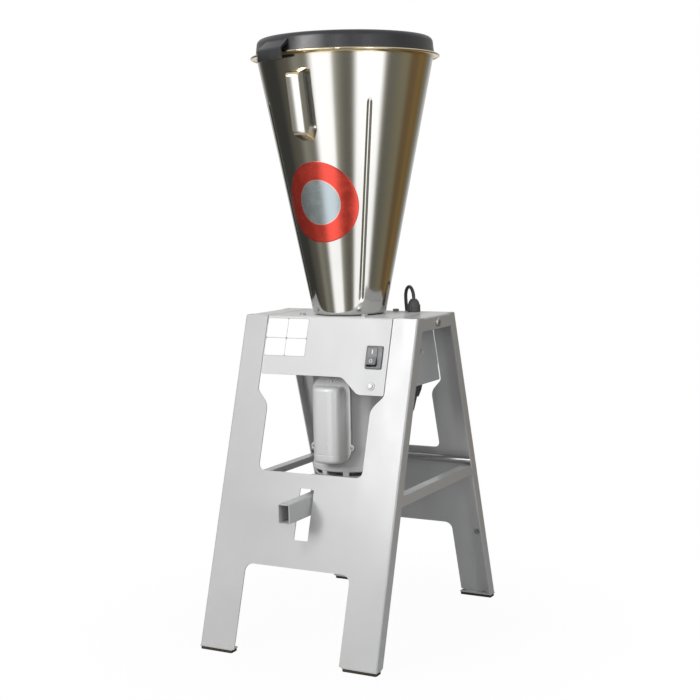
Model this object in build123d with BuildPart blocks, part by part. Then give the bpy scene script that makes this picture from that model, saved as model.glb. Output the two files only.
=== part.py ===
from build123d import *
import os
from math import asin, atan2, cos, degrees, pi, radians, sin, tan

# Tilting floor blender: an A-shaped sheet-steel stand, a head that tips forward on two pivot bolts and carries
# the motor, the conical bowl and its controls, and a lever that reaches out of the front panel.
# Millimetres. The floor is z = 0, the front faces -Y, and +X is the right-hand side seen from the front.

# Stand
deck_height = 644.0
stand_width = 390.0
top_depth = 174.0
base_depth = 576.0
sheet = 2.5
flange_depth = 25.0
bend_radius = 4.0

# Cut-outs of the leaning panels, as heights above the floor
notch_width = 284.0
notch_bottom = 498.0
notch_radius = 14.0
window_width = 232.0
window_top = 472.0
window_bottom = 345.0
window_radius = 14.0
shoulder_radius = 32.0
arch_top = 169.5
arch_radius = 16.0
slot_width = 31.0
slot_top = 317.5
slot_bottom = 221.5
panel_trim = 12.0
edge_match = 0.001

# Top bridges between the two panels
apron_height = 26.0

# Rails
rail_leg = 20.0
rail_thickness = 3.0
rail_top = 313.0
rail_end_gap = 11.0

# Feet
pad_height = 6.0
foot_plate = 2.0
foot_depth = 22.0
foot_inset = 5.0
pad_inset = 3.5
foot_screw_radius = 2.0
foot_screw_head = 4.0
foot_screw_head_height = 2.0
foot_screw_inset = 15.0
foot_screw_inner = 7.0
foot_screw_outer = 20.0
foot_screw_length = 5.0

# Pivot of the head
pivot_drop = 13.0
pivot_radius = 6.0
pivot_head_radius = 8.7
pivot_head_height = 5.5
pivot_head_round = 4.4
pivot_bolt_end = 3.0
spacer_radius = 9.0
bush_radius = 9.0
bush_flange_radius = 10.0
bush_flange = 2.0
bush_boss = 4.0
pivot_nut_flats = 17.0
pivot_nut_height = 6.5
tilt_limit = 95.0

# Clearances
running = 0.05
seat_gap = 0.3
head_gap = 2.0

# Stop studs
stop_radius = 5.0
stop_reach = 24.0
rest_stop_offset = 55.0
pour_stop_radius = 60.0
stop_weld = 2.0
stop_chamfer = 1.0

# Head housing, heights above the floor
skirt_bottom = 530.0
lug_bottom = 498.5
lug_start = 45.0
lug_end = 83.0
lug_radius = 22.0
hem_radius = 3.0
shaft_opening = 18.0

# Bowl
bowl_bottom_radius = 73.7
bowl_rim_radius = 175.5
bowl_rim_height = 1151.0
bowl_wall = 1.5
bowl_corner = 8.0
gasket_thickness = 1.5
gasket_radius = 68.0
flange_overhang = 11.0
flange_rise = 4.5
rim_bead = 2.4
rib_radius = 5.5
rib_depth = 3.0
rib_above_foot = 35.5
rib_below_rim = 92.0
rib_count = 4

# Bowl handle
handle_turn = -2.3
handle_width = 24.5
handle_strap = 2.5
handle_reach = 33.0
handle_below_rim = 28.0
handle_slope = 10.0
handle_grip = 112.0
handle_return = 11.0
handle_bend = 9.0

# Lid
lid_overhang = 3.0
lid_draft = 4.0
lid_height = 35.5
lid_wall = 4.0
lid_edge = 11.0
lid_lip = 1.0
lid_skirt_gap = 7.5
lid_skirt_depth = 16.0
lid_seat = 0.3
tab_start = -31.0
tab_end = -9.5
tab_overhang = 10.0
tab_rise = 27.0
tab_knee_rise = 7.5
tab_drop = 15.5
tab_wall = 4.0
tab_ridge = 2.0
tab_ridge_angle = 2.2

# Motor
motor_radius = 79.5
motor_shell_wall = 3.0
motor_bottom = 314.0
motor_bottom_radius = 80.0
motor_bottom_fillet = 15.0
shell_bottom = 345.0
shell_top = 560.0
shield_wall = 4.0
shield_band_radius = 82.0
shield_band_bottom = 332.0
shield_band_top = 340.0
vent_count = 10
vent_angle = 27.0
vent_bottom = 321.5
vent_height = 9.0
top_shield_radius = 81.0
top_shield_neck = 74.0
top_shield_shoulder = 598.0
top_shield_taper = 609.0
flange_side = 160.0
flange_plate = 10.0
flange_corner = 14.0
deck_bolt_spacing = 140.0
deck_bolt_radius = 4.0
deck_bolt_head = 7.0
deck_bolt_head_height = 5.5
deck_bolt_chamfer = 0.9
stator_bottom = 395.0
stator_top = 515.0
stator_bore = 42.0
air_gap = 0.5
winding_height = 23.0
winding_round = 7.5
winding_inner = 47.0
winding_outer = 71.0
shaft_radius = 10.0
shaft_tip_radius = 9.0
shaft_bottom = 320.0
lower_bearing_radius = 20.0
lower_bearing_bottom = 322.0
upper_bearing_radius = 23.5
upper_bearing_bottom = 601.0
bearing_width = 12.0
bearing_boss = 6.0
fan_bottom = 349.0
fan_height = 16.0
fan_radius = 66.0
fan_hub_radius = 18.0
fan_blade = 2.0
fan_blades = 8

# Bowl hub, seal and blades
hub_radius = 17.0
hub_bore = 11.0
hub_flange_radius = 28.0
hub_flange_height = 6.0
hub_chamfer = 2.0
hub_depth = 20.0
seal_height = 8.0
blade_hub_radius = 16.0
blade_hub_height = 10.0
blade_length = 58.0
blade_width = 16.0
blade_thickness = 2.5
blade_lift = 22.0
blade_bend = 8.0
blade_gap = 0.5
blade_nut_radius = 10.0
blade_nut_height = 12.0

# Capacitor cover on the front of the motor
cover_front = 120.0
cover_width = 63.0
cover_bottom = 353.0
cover_top = 506.0
cover_corner = 11.0
cover_round = 8.0
cover_wall = 2.0
base_back = 82.0
base_plate = 3.0
base_width = 84.0
base_bottom = 349.0
base_top = 525.0
base_corner = 30.0
base_foot_corner = 9.0
base_ear_height = 383.0
base_ear_radius = 6.5
saddle_width = 56.0
saddle_depth = 42.0
capacitor_radius = 15.0
capacitor_height = 120.0
capacitor_round = 2.0
cover_screw_radius = 2.0
cover_screw_head = 3.5
cover_screw_head_height = 2.0

# Switch and reset button on the front plate
switch_x = 111.0
switch_height = 569.5
switch_width = 35.5
switch_length = 46.0
switch_proud = 3.0
switch_corner = 3.0
switch_round = 1.0
switch_body_inset = 1.2
switch_body_depth = 22.0
rocker_x = 107.5
rocker_width = 21.0
rocker_length = 34.0
rocker_pocket_length = 38.0
rocker_pocket_depth = 12.5
rocker_pivot_depth = 6.0
rocker_hub = 5.0
rocker_pin = 1.5
rocker_pin_length = 1.8
rocker_crown = 4.2
rocker_valley = 1.6
rocker_skin = 3.5
rocker_throw = 16.0
reset_height = 515.6
reset_radius = 4.8
reset_collar_radius = 8.0
reset_collar_height = 2.0
reset_collar_chamfer = 0.7
reset_proud = 4.5
reset_travel = 2.0
reset_round = 1.0
reset_floor = 2.0
reset_body_radius = 7.0
reset_body_depth = 24.0

# Cable gland on the deck
gland_x = 112.0
gland_y = 68.0
gland_radius = 13.3
gland_nut_height = 6.0
gland_body_height = 15.0
gland_top_radius = 6.0
gland_height = 27.0
gland_tail = 12.0
gland_tail_radius = 9.0

# Lever
lever_width = 25.0
lever_height = 38.0
lever_wall = 2.0
lever_corner = 3.0
lever_top = 305.0
lever_reach = 80.0
lever_tail = 12.0
lever_axle_gap = 13.8
lever_axle_z = 323.0
axle_radius = 8.0
lever_hub_radius = 11.0
lever_hub_length = 50.0
lever_ear = 3.0
lever_ear_radius = 12.4
lever_ear_reach = 24.0
collar_radius = 12.0
collar_width = 8.0
catch_thickness = 5.0
catch_front = 75.0
catch_rear = 50.0
catch_base = 275.0
catch_front_top = 302.6
catch_rear_top = 300.6
catch_floor = 292.0
keeper_front = 62.0
keeper_rear = 57.0
keeper_tip = 304.0
keeper_plate = 2.0
keeper_back = 30.0
keeper_side_gap = 1.5
keeper_ear = 3.0
keeper_play_front = 4.0
keeper_play_rear = 3.0

# Lever spring
spring_gap = 16.2
spring_radius = 5.0
spring_wire = 1.2
spring_pitch = 4.0
spring_top = 337.5
spring_tab = 3.0
spring_tab_width = 14.0
spring_tab_reach = 9.0

# Leg bolt
leg_bolt_inset = 21.0
leg_bolt_height = 155.0
leg_bolt_radius = 3.0
leg_bolt_head = 5.5
leg_bolt_head_height = 4.0

# Mains lead
cord_radius = 3.5
hank_left = 103.0
hank_depth = 32.0
hank_width = 51.0
hank_length = 104.0
hank_y = 54.0
hank_z = 574.0
hank_edge = 3.0
strap_wall = 1.5
strap_width = 14.0
strap_height = 580.0
plug_foot = (101.0, 88.0, 467.0)
plug_lean = 12.0
plug_taper = 0.75
plug_width = 28.0
plug_thickness = 18.0
plug_length = 29.0
plug_corner = 6.0
plug_relief = 30.0
plug_relief_radius = 5.8
plug_relief_tip = 4.6
pin_radius = 2.4
pin_chamfer = 0.8
pin_length = 19.0
pin_spacing = 9.5
pin_offset = 3.0

# Worked-out values
foot_height = pad_height + foot_plate
lean = atan2((base_depth - top_depth) / 2, deck_height - foot_height)
slant = sheet / cos(lean)
half_width = stand_width / 2
wall_x = half_width - sheet
head_half = notch_width / 2 - head_gap
plate_x = head_half - sheet
under_deck = deck_height - sheet
pivot_z = deck_height - pivot_drop
bowl_z = deck_height + gasket_thickness
bowl_floor = bowl_z + bowl_wall
cone_slope = (bowl_rim_radius - bowl_bottom_radius) / (bowl_rim_height - bowl_z)
leg_inner = window_width / 2
leg_bolt_x = half_width - leg_bolt_inset
flange_height = bowl_rim_height + flange_rise
flange_radius = bowl_rim_radius + flange_overhang
rim_topside = flange_height + bowl_wall / 2
rib_bottom = bowl_z + rib_above_foot
rib_top = bowl_rim_height - rib_below_rim
handle_top = bowl_rim_height - handle_below_rim
handle_shoulder = handle_top - handle_slope
handle_elbow = handle_shoulder - handle_grip
handle_bottom = handle_elbow - handle_return
lid_radius = bowl_rim_radius + lid_overhang
lid_top_radius = lid_radius - lid_draft
lid_skirt_radius = bowl_rim_radius - lid_skirt_gap
tab_reach = flange_radius + tab_overhang
tab_top = flange_height + tab_rise
tab_knee = flange_height + tab_knee_rise
tab_bottom = flange_height - tab_drop
lever_bottom = lever_top - lever_height
lever_middle = (lever_top + lever_bottom) / 2


def panel_y(height):
    """Distance of the panels' outer face from the centre plane at a height."""
    return top_depth / 2 + tan(lean) * (deck_height - height)


def along(height):
    """Place on the panel's slope, measured up from its top edge, of a height above the floor."""
    return (height - deck_height) / cos(lean)


def cone_radius(height):
    """Outer radius of the bowl at a height above the floor."""
    return bowl_bottom_radius + cone_slope * (height - bowl_z)


def inner_y(height):
    """Distance of the panels' inner face from the centre plane at a height."""
    return panel_y(height) - slant


def flange_y(height):
    """Distance of the side flanges' inner edge from the centre plane at a height."""
    return panel_y(height) - flange_depth / cos(lean)


lever_front = panel_y(lever_middle) + lever_reach
lever_axle_y = inner_y(lever_axle_z) - lever_axle_gap
lever_rear = lever_axle_y + lever_tail
lever_ear_front = lever_axle_y - lever_ear_reach
spring_y = spring_gap - inner_y(spring_top)
spring_tab_y = spring_y + spring_tab_reach
front_face = Plane(origin=(0, -top_depth / 2, deck_height), x_dir=(1, 0, 0), z_dir=(0, -cos(lean), sin(lean)))
rear_face = Plane(origin=(0, top_depth / 2, deck_height), x_dir=(-1, 0, 0), z_dir=(0, cos(lean), sin(lean)))


def leaning_panel(face, slot):
    """One side of the A-frame: a sheet folded back along both edges, cut out above, in the middle and below."""
    top_end = Plane(origin=face.origin + face.y_dir * panel_trim, x_dir=face.x_dir, z_dir=-face.y_dir)
    window_half, notch_half = window_width / 2, notch_width / 2
    with BuildPart() as panel:
        with BuildSketch(top_end):
            with Locations((0, -flange_depth / 2)):
                Rectangle(stand_width, flange_depth)
            with Locations((0, -flange_depth / 2 - sheet)):
                Rectangle(stand_width - 2 * sheet, flange_depth, mode=Mode.SUBTRACT)
        extrude(amount=2 * panel_trim - along(0.0))
        split(bisect_by=Plane.XY.offset(foot_height), keep=Keep.TOP)
        split(bisect_by=Plane.XY.offset(deck_height), keep=Keep.BOTTOM)
        with BuildSketch(face):
            with BuildLine():
                sides = FilletPolyline(
                    (notch_half, panel_trim), (notch_half, along(notch_bottom)), (window_half, along(window_top)),
                    (window_half, along(window_bottom)), (-window_half, along(window_bottom)),
                    (-window_half, along(window_top)), (-notch_half, along(notch_bottom)), (-notch_half, panel_trim),
                    radius=[notch_radius, shoulder_radius, window_radius, window_radius, shoulder_radius,
                            notch_radius])
                Line(sides @ 1, sides @ 0)
            make_face()
            with BuildLine():
                arch = FilletPolyline(
                    (leg_inner, along(0.0)), (leg_inner, along(arch_top)), (-leg_inner, along(arch_top)),
                    (-leg_inner, along(0.0)), radius=[arch_radius, arch_radius])
                Line(arch @ 1, arch @ 0)
            make_face()
            if slot:
                with Locations((0, (along(slot_top) + along(slot_bottom)) / 2)):
                    Rectangle(slot_width, along(slot_top) - along(slot_bottom))
        extrude(amount=-2 * sheet, mode=Mode.SUBTRACT)
        folds = [e for e in edges().filter_by(GeomType.LINE) if e.length > deck_height - foot_height]
        outer = [e for e in folds if abs(abs(e.center().X) - half_width) < edge_match
                 and abs(face.to_local_coords(e.center()).Z) < edge_match]
        inner = [e for e in folds if abs(abs(e.center().X) - wall_x) < edge_match
                 and abs(face.to_local_coords(e.center()).Z + sheet) < edge_match]
        fillet(outer, radius=bend_radius)
        fillet(inner, radius=bend_radius - sheet)
    return panel.part


os.makedirs("parts", exist_ok=True)

# Stand: the two leaning panels
front_panel = leaning_panel(front_face, True)
front_panel.label = "front_panel"
export_step(front_panel, "parts/front_panel.step")

leg_bolt_spot = rear_face.from_local_coords((-leg_bolt_x, along(leg_bolt_height), -sheet))
leg_bolt_plane = Plane(origin=leg_bolt_spot, x_dir=(1, 0, 0), z_dir=-rear_face.z_dir)
with BuildPart() as rear_panel:
    add(leaning_panel(rear_face, False))
    with BuildSketch(leg_bolt_plane):
        Circle(leg_bolt_radius)
    extrude(amount=-sheet, mode=Mode.SUBTRACT)
rear_panel.part.label = "rear_panel"
export_step(rear_panel.part, "parts/rear_panel.step")

with BuildPart() as leg_bolt:
    with BuildSketch(leg_bolt_plane):
        Circle(leg_bolt_radius)
    extrude(amount=-sheet)
    with BuildSketch(leg_bolt_plane):
        RegularPolygon(leg_bolt_head, 6)
    extrude(amount=leg_bolt_head_height)
leg_bolt.part.label = "leg_bolt"
export_step(leg_bolt.part, "parts/leg_bolt.step")


# Stand: bridges that join the panels over each pair of legs and carry the pivots
def bridge(side):
    """Strap over one pair of legs, folded down outside as an apron with the pivot hole."""
    apron_bottom = deck_height - apron_height
    half_length = top_depth / 2 - slant
    apron_start = wall_x - bend_radius
    with BuildPart() as strap:
        with BuildSketch(Plane.XZ.offset(-half_length)):
            with BuildLine():
                Polyline(
                    (side * notch_width / 2, under_deck), (side * notch_width / 2, deck_height),
                    (side * half_width, deck_height), (side * half_width, apron_bottom),
                    (side * wall_x, apron_bottom), (side * wall_x, under_deck), close=True)
            make_face()
            fillet(vertices().sort_by_distance((side * half_width, deck_height))[0], radius=bend_radius)
            fillet(vertices().sort_by_distance((side * wall_x, under_deck))[0], radius=bend_radius - sheet)
        extrude(amount=2 * half_length)
        for end in (-1, 1):
            with BuildSketch(Plane.YZ.offset(side * apron_start)):
                with BuildLine():
                    Polyline(
                        (end * flange_y(deck_height), deck_height), (end * half_length, deck_height),
                        (end * half_length, apron_bottom), (end * flange_y(apron_bottom), apron_bottom),
                        close=True)
                make_face()
            extrude(amount=side * (half_width - apron_start), mode=Mode.SUBTRACT)
        with BuildSketch(Plane.YZ.offset(side * half_width)):
            with Locations((0, pivot_z)):
                Circle(pivot_radius + running)
        extrude(amount=-side * sheet, mode=Mode.SUBTRACT)
    return strap.part


left_bridge = bridge(-1)
left_bridge.label = "left_bridge"
export_step(left_bridge, "parts/left_bridge.step")

right_bridge = bridge(1)
right_bridge.label = "right_bridge"
export_step(right_bridge, "parts/right_bridge.step")


# Stand: angle rails low between the legs
def rail(side):
    """Angle bar along one side, with its level leg turned inwards."""
    half_length = inner_y(rail_top) - rail_end_gap
    with BuildPart() as bar:
        with BuildSketch(Plane.XZ.offset(-half_length)):
            with BuildLine():
                Polyline(
                    (side * wall_x, rail_top), (side * (wall_x - rail_leg), rail_top),
                    (side * (wall_x - rail_leg), rail_top - rail_thickness),
                    (side * (wall_x - rail_thickness), rail_top - rail_thickness),
                    (side * (wall_x - rail_thickness), rail_top - rail_leg), (side * wall_x, rail_top - rail_leg),
                    close=True)
            make_face()
        extrude(amount=2 * half_length)
    return bar.part


left_rail = rail(-1)
left_rail.label = "left_rail"
export_step(left_rail, "parts/left_rail.step")

right_rail = rail(1)
right_rail.label = "right_rail"
export_step(right_rail, "parts/right_rail.step")

# Stand: feet
foot_inner = leg_inner + foot_inset
foot_width = half_width - foot_inner
foot_x = (half_width + foot_inner) / 2
foot_edge = base_depth / 2
foot_places = [(sx * foot_x, sy * (foot_edge - foot_depth / 2)) for sx in (-1, 1) for sy in (-1, 1)]
foot_screw_x = (foot_inner + foot_screw_inner, half_width - foot_screw_outer)
foot_screw_places = [(sx * x, sy * (foot_edge - foot_screw_inset))
                     for sx in (-1, 1) for sy in (-1, 1) for x in foot_screw_x]

with BuildPart() as foot_plates:
    with BuildSketch(Plane.XY.offset(pad_height)):
        with Locations(*foot_places):
            Rectangle(foot_width, foot_depth)
        with Locations(*foot_screw_places):
            Circle(foot_screw_radius, mode=Mode.SUBTRACT)
    extrude(amount=foot_plate)
foot_plates.part.label = "foot_plates"
export_step(foot_plates.part, "parts/foot_plates.step")

with BuildPart() as rubber_feet:
    with BuildSketch():
        with Locations(*foot_places):
            RectangleRounded(foot_width - 2 * pad_inset, foot_depth - 2 * pad_inset, pad_inset)
        with Locations(*foot_screw_places):
            Circle(foot_screw_radius, mode=Mode.SUBTRACT)
    extrude(amount=pad_height)
rubber_feet.part.label = "rubber_feet"
export_step(rubber_feet.part, "parts/rubber_feet.step")

with BuildPart() as foot_screws:
    with BuildSketch(Plane.XY.offset(foot_height)):
        with Locations(*foot_screw_places):
            Circle(foot_screw_head)
    extrude(amount=foot_screw_head_height)
    with BuildSketch(Plane.XY.offset(foot_height)):
        with Locations(*foot_screw_places):
            Circle(foot_screw_radius)
    extrude(amount=-foot_screw_length)
foot_screws.part.label = "foot_screws"
export_step(foot_screws.part, "parts/foot_screws.step")

# Stand: pivot bolts, each with its spacer tube and its nut
bush_end = plate_x - bush_boss
bush_face = head_half + bush_flange
with BuildPart() as pivot_bolts:
    with BuildSketch(Plane.YZ.offset(half_width)):
        with Locations((0, pivot_z)):
            Circle(pivot_head_radius)
    extrude(amount=pivot_head_height)
    fillet(edges().sort_by(Axis.X)[-1], radius=pivot_head_round)
    with BuildSketch(Plane.YZ.offset(half_width)):
        with Locations((0, pivot_z)):
            Circle(pivot_radius)
    extrude(amount=-(half_width - bush_end + pivot_nut_height + pivot_bolt_end))
    mirror(about=Plane.YZ)
pivot_bolts.part.label = "pivot_bolts"
export_step(pivot_bolts.part, "parts/pivot_bolts.step")

with BuildPart() as pivot_spacers:
    with BuildSketch(Plane.YZ.offset(bush_face + seat_gap)):
        with Locations((0, pivot_z)):
            Circle(spacer_radius)
            Circle(pivot_radius + running, mode=Mode.SUBTRACT)
    extrude(amount=wall_x - bush_face - seat_gap)
    mirror(about=Plane.YZ)
pivot_spacers.part.label = "pivot_spacers"
export_step(pivot_spacers.part, "parts/pivot_spacers.step")

with BuildPart() as pivot_nuts:
    with BuildSketch(Plane.YZ.offset(bush_end - seat_gap)):
        with Locations((0, pivot_z)):
            RegularPolygon(pivot_nut_flats / 2, 6, major_radius=False)
            Circle(pivot_radius, mode=Mode.SUBTRACT)
    extrude(amount=-pivot_nut_height)
    mirror(about=Plane.YZ)
pivot_nuts.part.label = "pivot_nuts"
export_step(pivot_nuts.part, "parts/pivot_nuts.step")

# Stand: cross axle of the lever with its two collars
axle_spot = (lever_axle_y, lever_axle_z)
with BuildPart() as lever_axle:
    with BuildSketch(Plane.YZ.offset(-wall_x)):
        with Locations(axle_spot):
            Circle(axle_radius)
    extrude(amount=2 * wall_x)
lever_axle.part.label = "lever_axle"
export_step(lever_axle.part, "parts/lever_axle.step")

with BuildPart() as axle_collars:
    with BuildSketch(Plane.YZ.offset(lever_hub_length / 2 + seat_gap)):
        with Locations(axle_spot):
            Circle(collar_radius)
            Circle(axle_radius, mode=Mode.SUBTRACT)
    extrude(amount=collar_width)
    mirror(about=Plane.YZ)
axle_collars.part.label = "axle_collars"
export_step(axle_collars.part, "parts/axle_collars.step")

# Lever: the open tube, its hub on the axle and the catch that holds the head upright
with BuildPart() as lever_tube:
    with BuildSketch(Plane.XZ.offset(lever_front)):
        with Locations((0, lever_middle)):
            RectangleRounded(lever_width, lever_height, lever_corner)
            RectangleRounded(lever_width - 2 * lever_wall, lever_height - 2 * lever_wall,
                             lever_corner - lever_wall, mode=Mode.SUBTRACT)
    extrude(amount=-(lever_front + lever_rear))
lever_tube.part.label = "lever_tube"
export_step(lever_tube.part, "parts/lever_tube.step")

with BuildPart() as lever_hub:
    with BuildSketch(Plane.YZ.offset(lever_width / 2)):
        with Locations(((lever_ear_front + lever_rear) / 2, (lever_middle + lever_top) / 2)):
            Rectangle(lever_rear - lever_ear_front, lever_top - lever_middle)
        with Locations(axle_spot):
            Circle(lever_ear_radius)
        make_hull()
    extrude(amount=lever_ear)
    mirror(about=Plane.YZ)
    with BuildSketch(Plane.YZ.offset(-lever_hub_length / 2)):
        with Locations(axle_spot):
            Circle(lever_hub_radius)
    extrude(amount=lever_hub_length)
    with BuildSketch(Plane.YZ.offset(-lever_hub_length / 2)):
        with Locations(axle_spot):
            Circle(axle_radius + running)
    extrude(amount=lever_hub_length, mode=Mode.SUBTRACT)
lever_hub.part.label = "lever_hub"
export_step(lever_hub.part, "parts/lever_hub.step")

with BuildPart() as catch_plates:
    with BuildSketch(Plane.YZ.offset(lever_width / 2)):
        with BuildLine():
            Polyline(
                (-catch_front, catch_base), (-catch_front, catch_front_top),
                (-keeper_front - keeper_play_front, catch_front_top),
                (-keeper_front - keeper_play_front, catch_floor), (-keeper_rear + keeper_play_rear, catch_floor),
                (-keeper_rear + keeper_play_rear, catch_rear_top), (-catch_rear, catch_rear_top),
                (-catch_rear, catch_base), close=True)
        make_face()
    extrude(amount=catch_thickness)
    mirror(about=Plane.YZ)
catch_plates.part.label = "catch_plates"
export_step(catch_plates.part, "parts/catch_plates.step")

# Head: folded housing with a level deck and two leaning plates
switch_spot = front_face.from_local_coords((switch_x, along(switch_height), 0))
switch_face = Plane(origin=switch_spot, x_dir=(1, 0, 0), z_dir=front_face.z_dir)
reset_spot = front_face.from_local_coords((switch_x, along(reset_height), 0))
reset_face = Plane(origin=reset_spot, x_dir=(1, 0, 0), z_dir=front_face.z_dir)
switch_body = (switch_width - 2 * switch_body_inset, switch_length - 2 * switch_body_inset)

with BuildPart() as head_housing:
    with BuildSketch(Plane.XY.offset(under_deck)):
        Rectangle(2 * head_half, top_depth)
    extrude(amount=sheet)
    with BuildSketch(front_face):
        with BuildLine():
            skirt = FilletPolyline(
                (-head_half, 0), (-head_half, along(skirt_bottom)), (lug_start, along(skirt_bottom)),
                (lug_end, along(lug_bottom)), (head_half, along(lug_bottom)), (head_half, 0),
                radius=[hem_radius, lug_radius, lug_radius, hem_radius])
            Line(skirt @ 1, skirt @ 0)
        make_face()
    extrude(amount=-sheet)
    with BuildSketch(rear_face):
        with BuildLine():
            skirt = FilletPolyline(
                (-head_half, 0), (-head_half, along(skirt_bottom)), (head_half, along(skirt_bottom)),
                (head_half, 0), radius=[hem_radius, hem_radius])
            Line(skirt @ 1, skirt @ 0)
        make_face()
    extrude(amount=-sheet)
    folds = edges().filter_by(Axis.X).group_by(Axis.Z)[-1]
    fillet(folds, radius=bend_radius)
    with Locations((0, 0, deck_height)):
        Hole(shaft_opening, depth=sheet)
    with Locations(Plane.XY.offset(deck_height)):
        with GridLocations(deck_bolt_spacing, deck_bolt_spacing, 2, 2):
            Hole(deck_bolt_radius, depth=sheet)
    with Locations((gland_x, gland_y, deck_height)):
        Hole(gland_tail_radius, depth=sheet)
    with BuildSketch(switch_face):
        Rectangle(*switch_body)
    extrude(amount=-sheet, mode=Mode.SUBTRACT)
    with BuildSketch(reset_face):
        Circle(reset_body_radius)
    extrude(amount=-sheet, mode=Mode.SUBTRACT)
head_housing.part.label = "head_housing"
export_step(head_housing.part, "parts/head_housing.step")

# Head: side plates between the leaning plates, with the stop studs and pivot bushes
rest_stop = (-rest_stop_offset, under_deck - seat_gap - stop_radius)
pour_stop_angle = degrees(asin((rest_stop[1] - pivot_z) / pour_stop_radius)) - tilt_limit
pour_stop = (pour_stop_radius * cos(radians(pour_stop_angle)),
             pivot_z + pour_stop_radius * sin(radians(pour_stop_angle)))


def side_plate(side, bottom):
    """Leaning-edged plate that closes one side of the housing down to a height."""
    with BuildPart() as plate:
        with BuildSketch(Plane.YZ.offset(side * plate_x)):
            with BuildLine():
                edge = FilletPolyline(
                    (inner_y(under_deck), under_deck), (inner_y(bottom), bottom), (-inner_y(bottom), bottom),
                    (-inner_y(under_deck), under_deck), radius=[hem_radius, hem_radius])
                Line(edge @ 1, edge @ 0)
            make_face()
            with Locations((0, pivot_z)):
                Circle(bush_radius, mode=Mode.SUBTRACT)
            with Locations(rest_stop, pour_stop):
                Circle(stop_radius, mode=Mode.SUBTRACT)
        extrude(amount=side * sheet)
    return plate.part


left_side_plate = side_plate(-1, skirt_bottom)
left_side_plate.label = "left_side_plate"
export_step(left_side_plate, "parts/left_side_plate.step")

right_side_plate = side_plate(1, lug_bottom)
right_side_plate.label = "right_side_plate"
export_step(right_side_plate, "parts/right_side_plate.step")

with BuildPart() as stop_studs:
    with BuildSketch(Plane.YZ.offset(plate_x - stop_weld)):
        with Locations(rest_stop, pour_stop):
            Circle(stop_radius)
    extrude(amount=stop_weld + sheet + stop_reach)
    chamfer(edges().group_by(Axis.X)[-1], length=stop_chamfer)
    mirror(about=Plane.YZ)
stop_studs.part.label = "stop_studs"
export_step(stop_studs.part, "parts/stop_studs.step")

with BuildPart() as pivot_bushes:
    with BuildSketch(Plane.YZ.offset(bush_end)):
        with Locations((0, pivot_z)):
            Circle(bush_radius)
    extrude(amount=head_half - bush_end)
    with BuildSketch(Plane.YZ.offset(head_half)):
        with Locations((0, pivot_z)):
            Circle(bush_flange_radius)
    extrude(amount=bush_flange)
    with BuildSketch(Plane.YZ.offset(bush_end)):
        with Locations((0, pivot_z)):
            Circle(pivot_radius + running)
    extrude(amount=bush_face - bush_end, mode=Mode.SUBTRACT)
    mirror(about=Plane.YZ)
pivot_bushes.part.label = "pivot_bushes"
export_step(pivot_bushes.part, "parts/pivot_bushes.step")

# Head: bowl seat, bowl and handle
with BuildPart() as bowl_gasket:
    with BuildSketch(Plane.XY.offset(deck_height)):
        Circle(gasket_radius)
        Circle(shaft_opening, mode=Mode.SUBTRACT)
    extrude(amount=gasket_thickness)
bowl_gasket.part.label = "bowl_gasket"
export_step(bowl_gasket.part, "parts/bowl_gasket.step")

half_angle = atan2(cone_slope, 1)
wall_across = bowl_wall / cos(half_angle)


def ribs(radius):
    """Round-ended bars along the outside of the bowl's wall, one for each pressed rib."""
    stand_off = rib_radius - rib_depth
    with BuildPart() as bars:
        for turn in range(rib_count):
            angle = radians(360 / rib_count * (turn + 0.5))
            ends = [((cone_radius(z) + stand_off * cos(half_angle)) * cos(angle),
                     (cone_radius(z) + stand_off * cos(half_angle)) * sin(angle),
                     z - stand_off * sin(half_angle)) for z in (rib_bottom, rib_top)]
            bar_axis = Vector(*ends[1]) - Vector(*ends[0])
            with Locations(Plane(origin=ends[0], z_dir=bar_axis)):
                Cylinder(radius, bar_axis.length, align=(Align.CENTER, Align.CENTER, Align.MIN))
            with Locations(*ends):
                Sphere(radius)
    return bars.part


rib_grooves = ribs(rib_radius)
rib_backs = ribs(rib_radius + bowl_wall)

with BuildPart() as bowl_form:
    with BuildSketch(Plane.XZ):
        with BuildLine():
            Polyline(
                (0, bowl_z), (bowl_bottom_radius, bowl_z), (cone_radius(rim_topside), rim_topside),
                (0, rim_topside), close=True)
        make_face()
    revolve(axis=Axis.Z)
    fillet(edges().group_by(Axis.Z)[0], radius=bowl_corner)

with BuildPart() as bowl_space:
    with BuildSketch(Plane.XZ):
        with BuildLine():
            Polyline(
                (0, bowl_floor), (cone_radius(bowl_floor) - wall_across, bowl_floor),
                (cone_radius(rim_topside) - wall_across, rim_topside), (0, rim_topside), close=True)
        make_face()
    revolve(axis=Axis.Z)
    fillet(edges().group_by(Axis.Z)[0], radius=bowl_corner - bowl_wall)
    add(rib_backs, mode=Mode.SUBTRACT)

with BuildPart() as bowl:
    add(bowl_form.part)
    with BuildSketch(Plane.XZ):
        with Locations((0, flange_height)):
            Rectangle(flange_radius, bowl_wall, align=(Align.MIN, Align.CENTER))
        with Locations((flange_radius, flange_height)):
            Circle(rim_bead)
    revolve(axis=Axis.Z)
    add(rib_grooves, mode=Mode.SUBTRACT)
    add(bowl_space.part, mode=Mode.SUBTRACT)
    with Locations((0, 0, bowl_floor)):
        Hole(hub_radius, depth=bowl_wall)
bowl.part.label = "bowl"
export_step(bowl.part, "parts/bowl.step")

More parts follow.
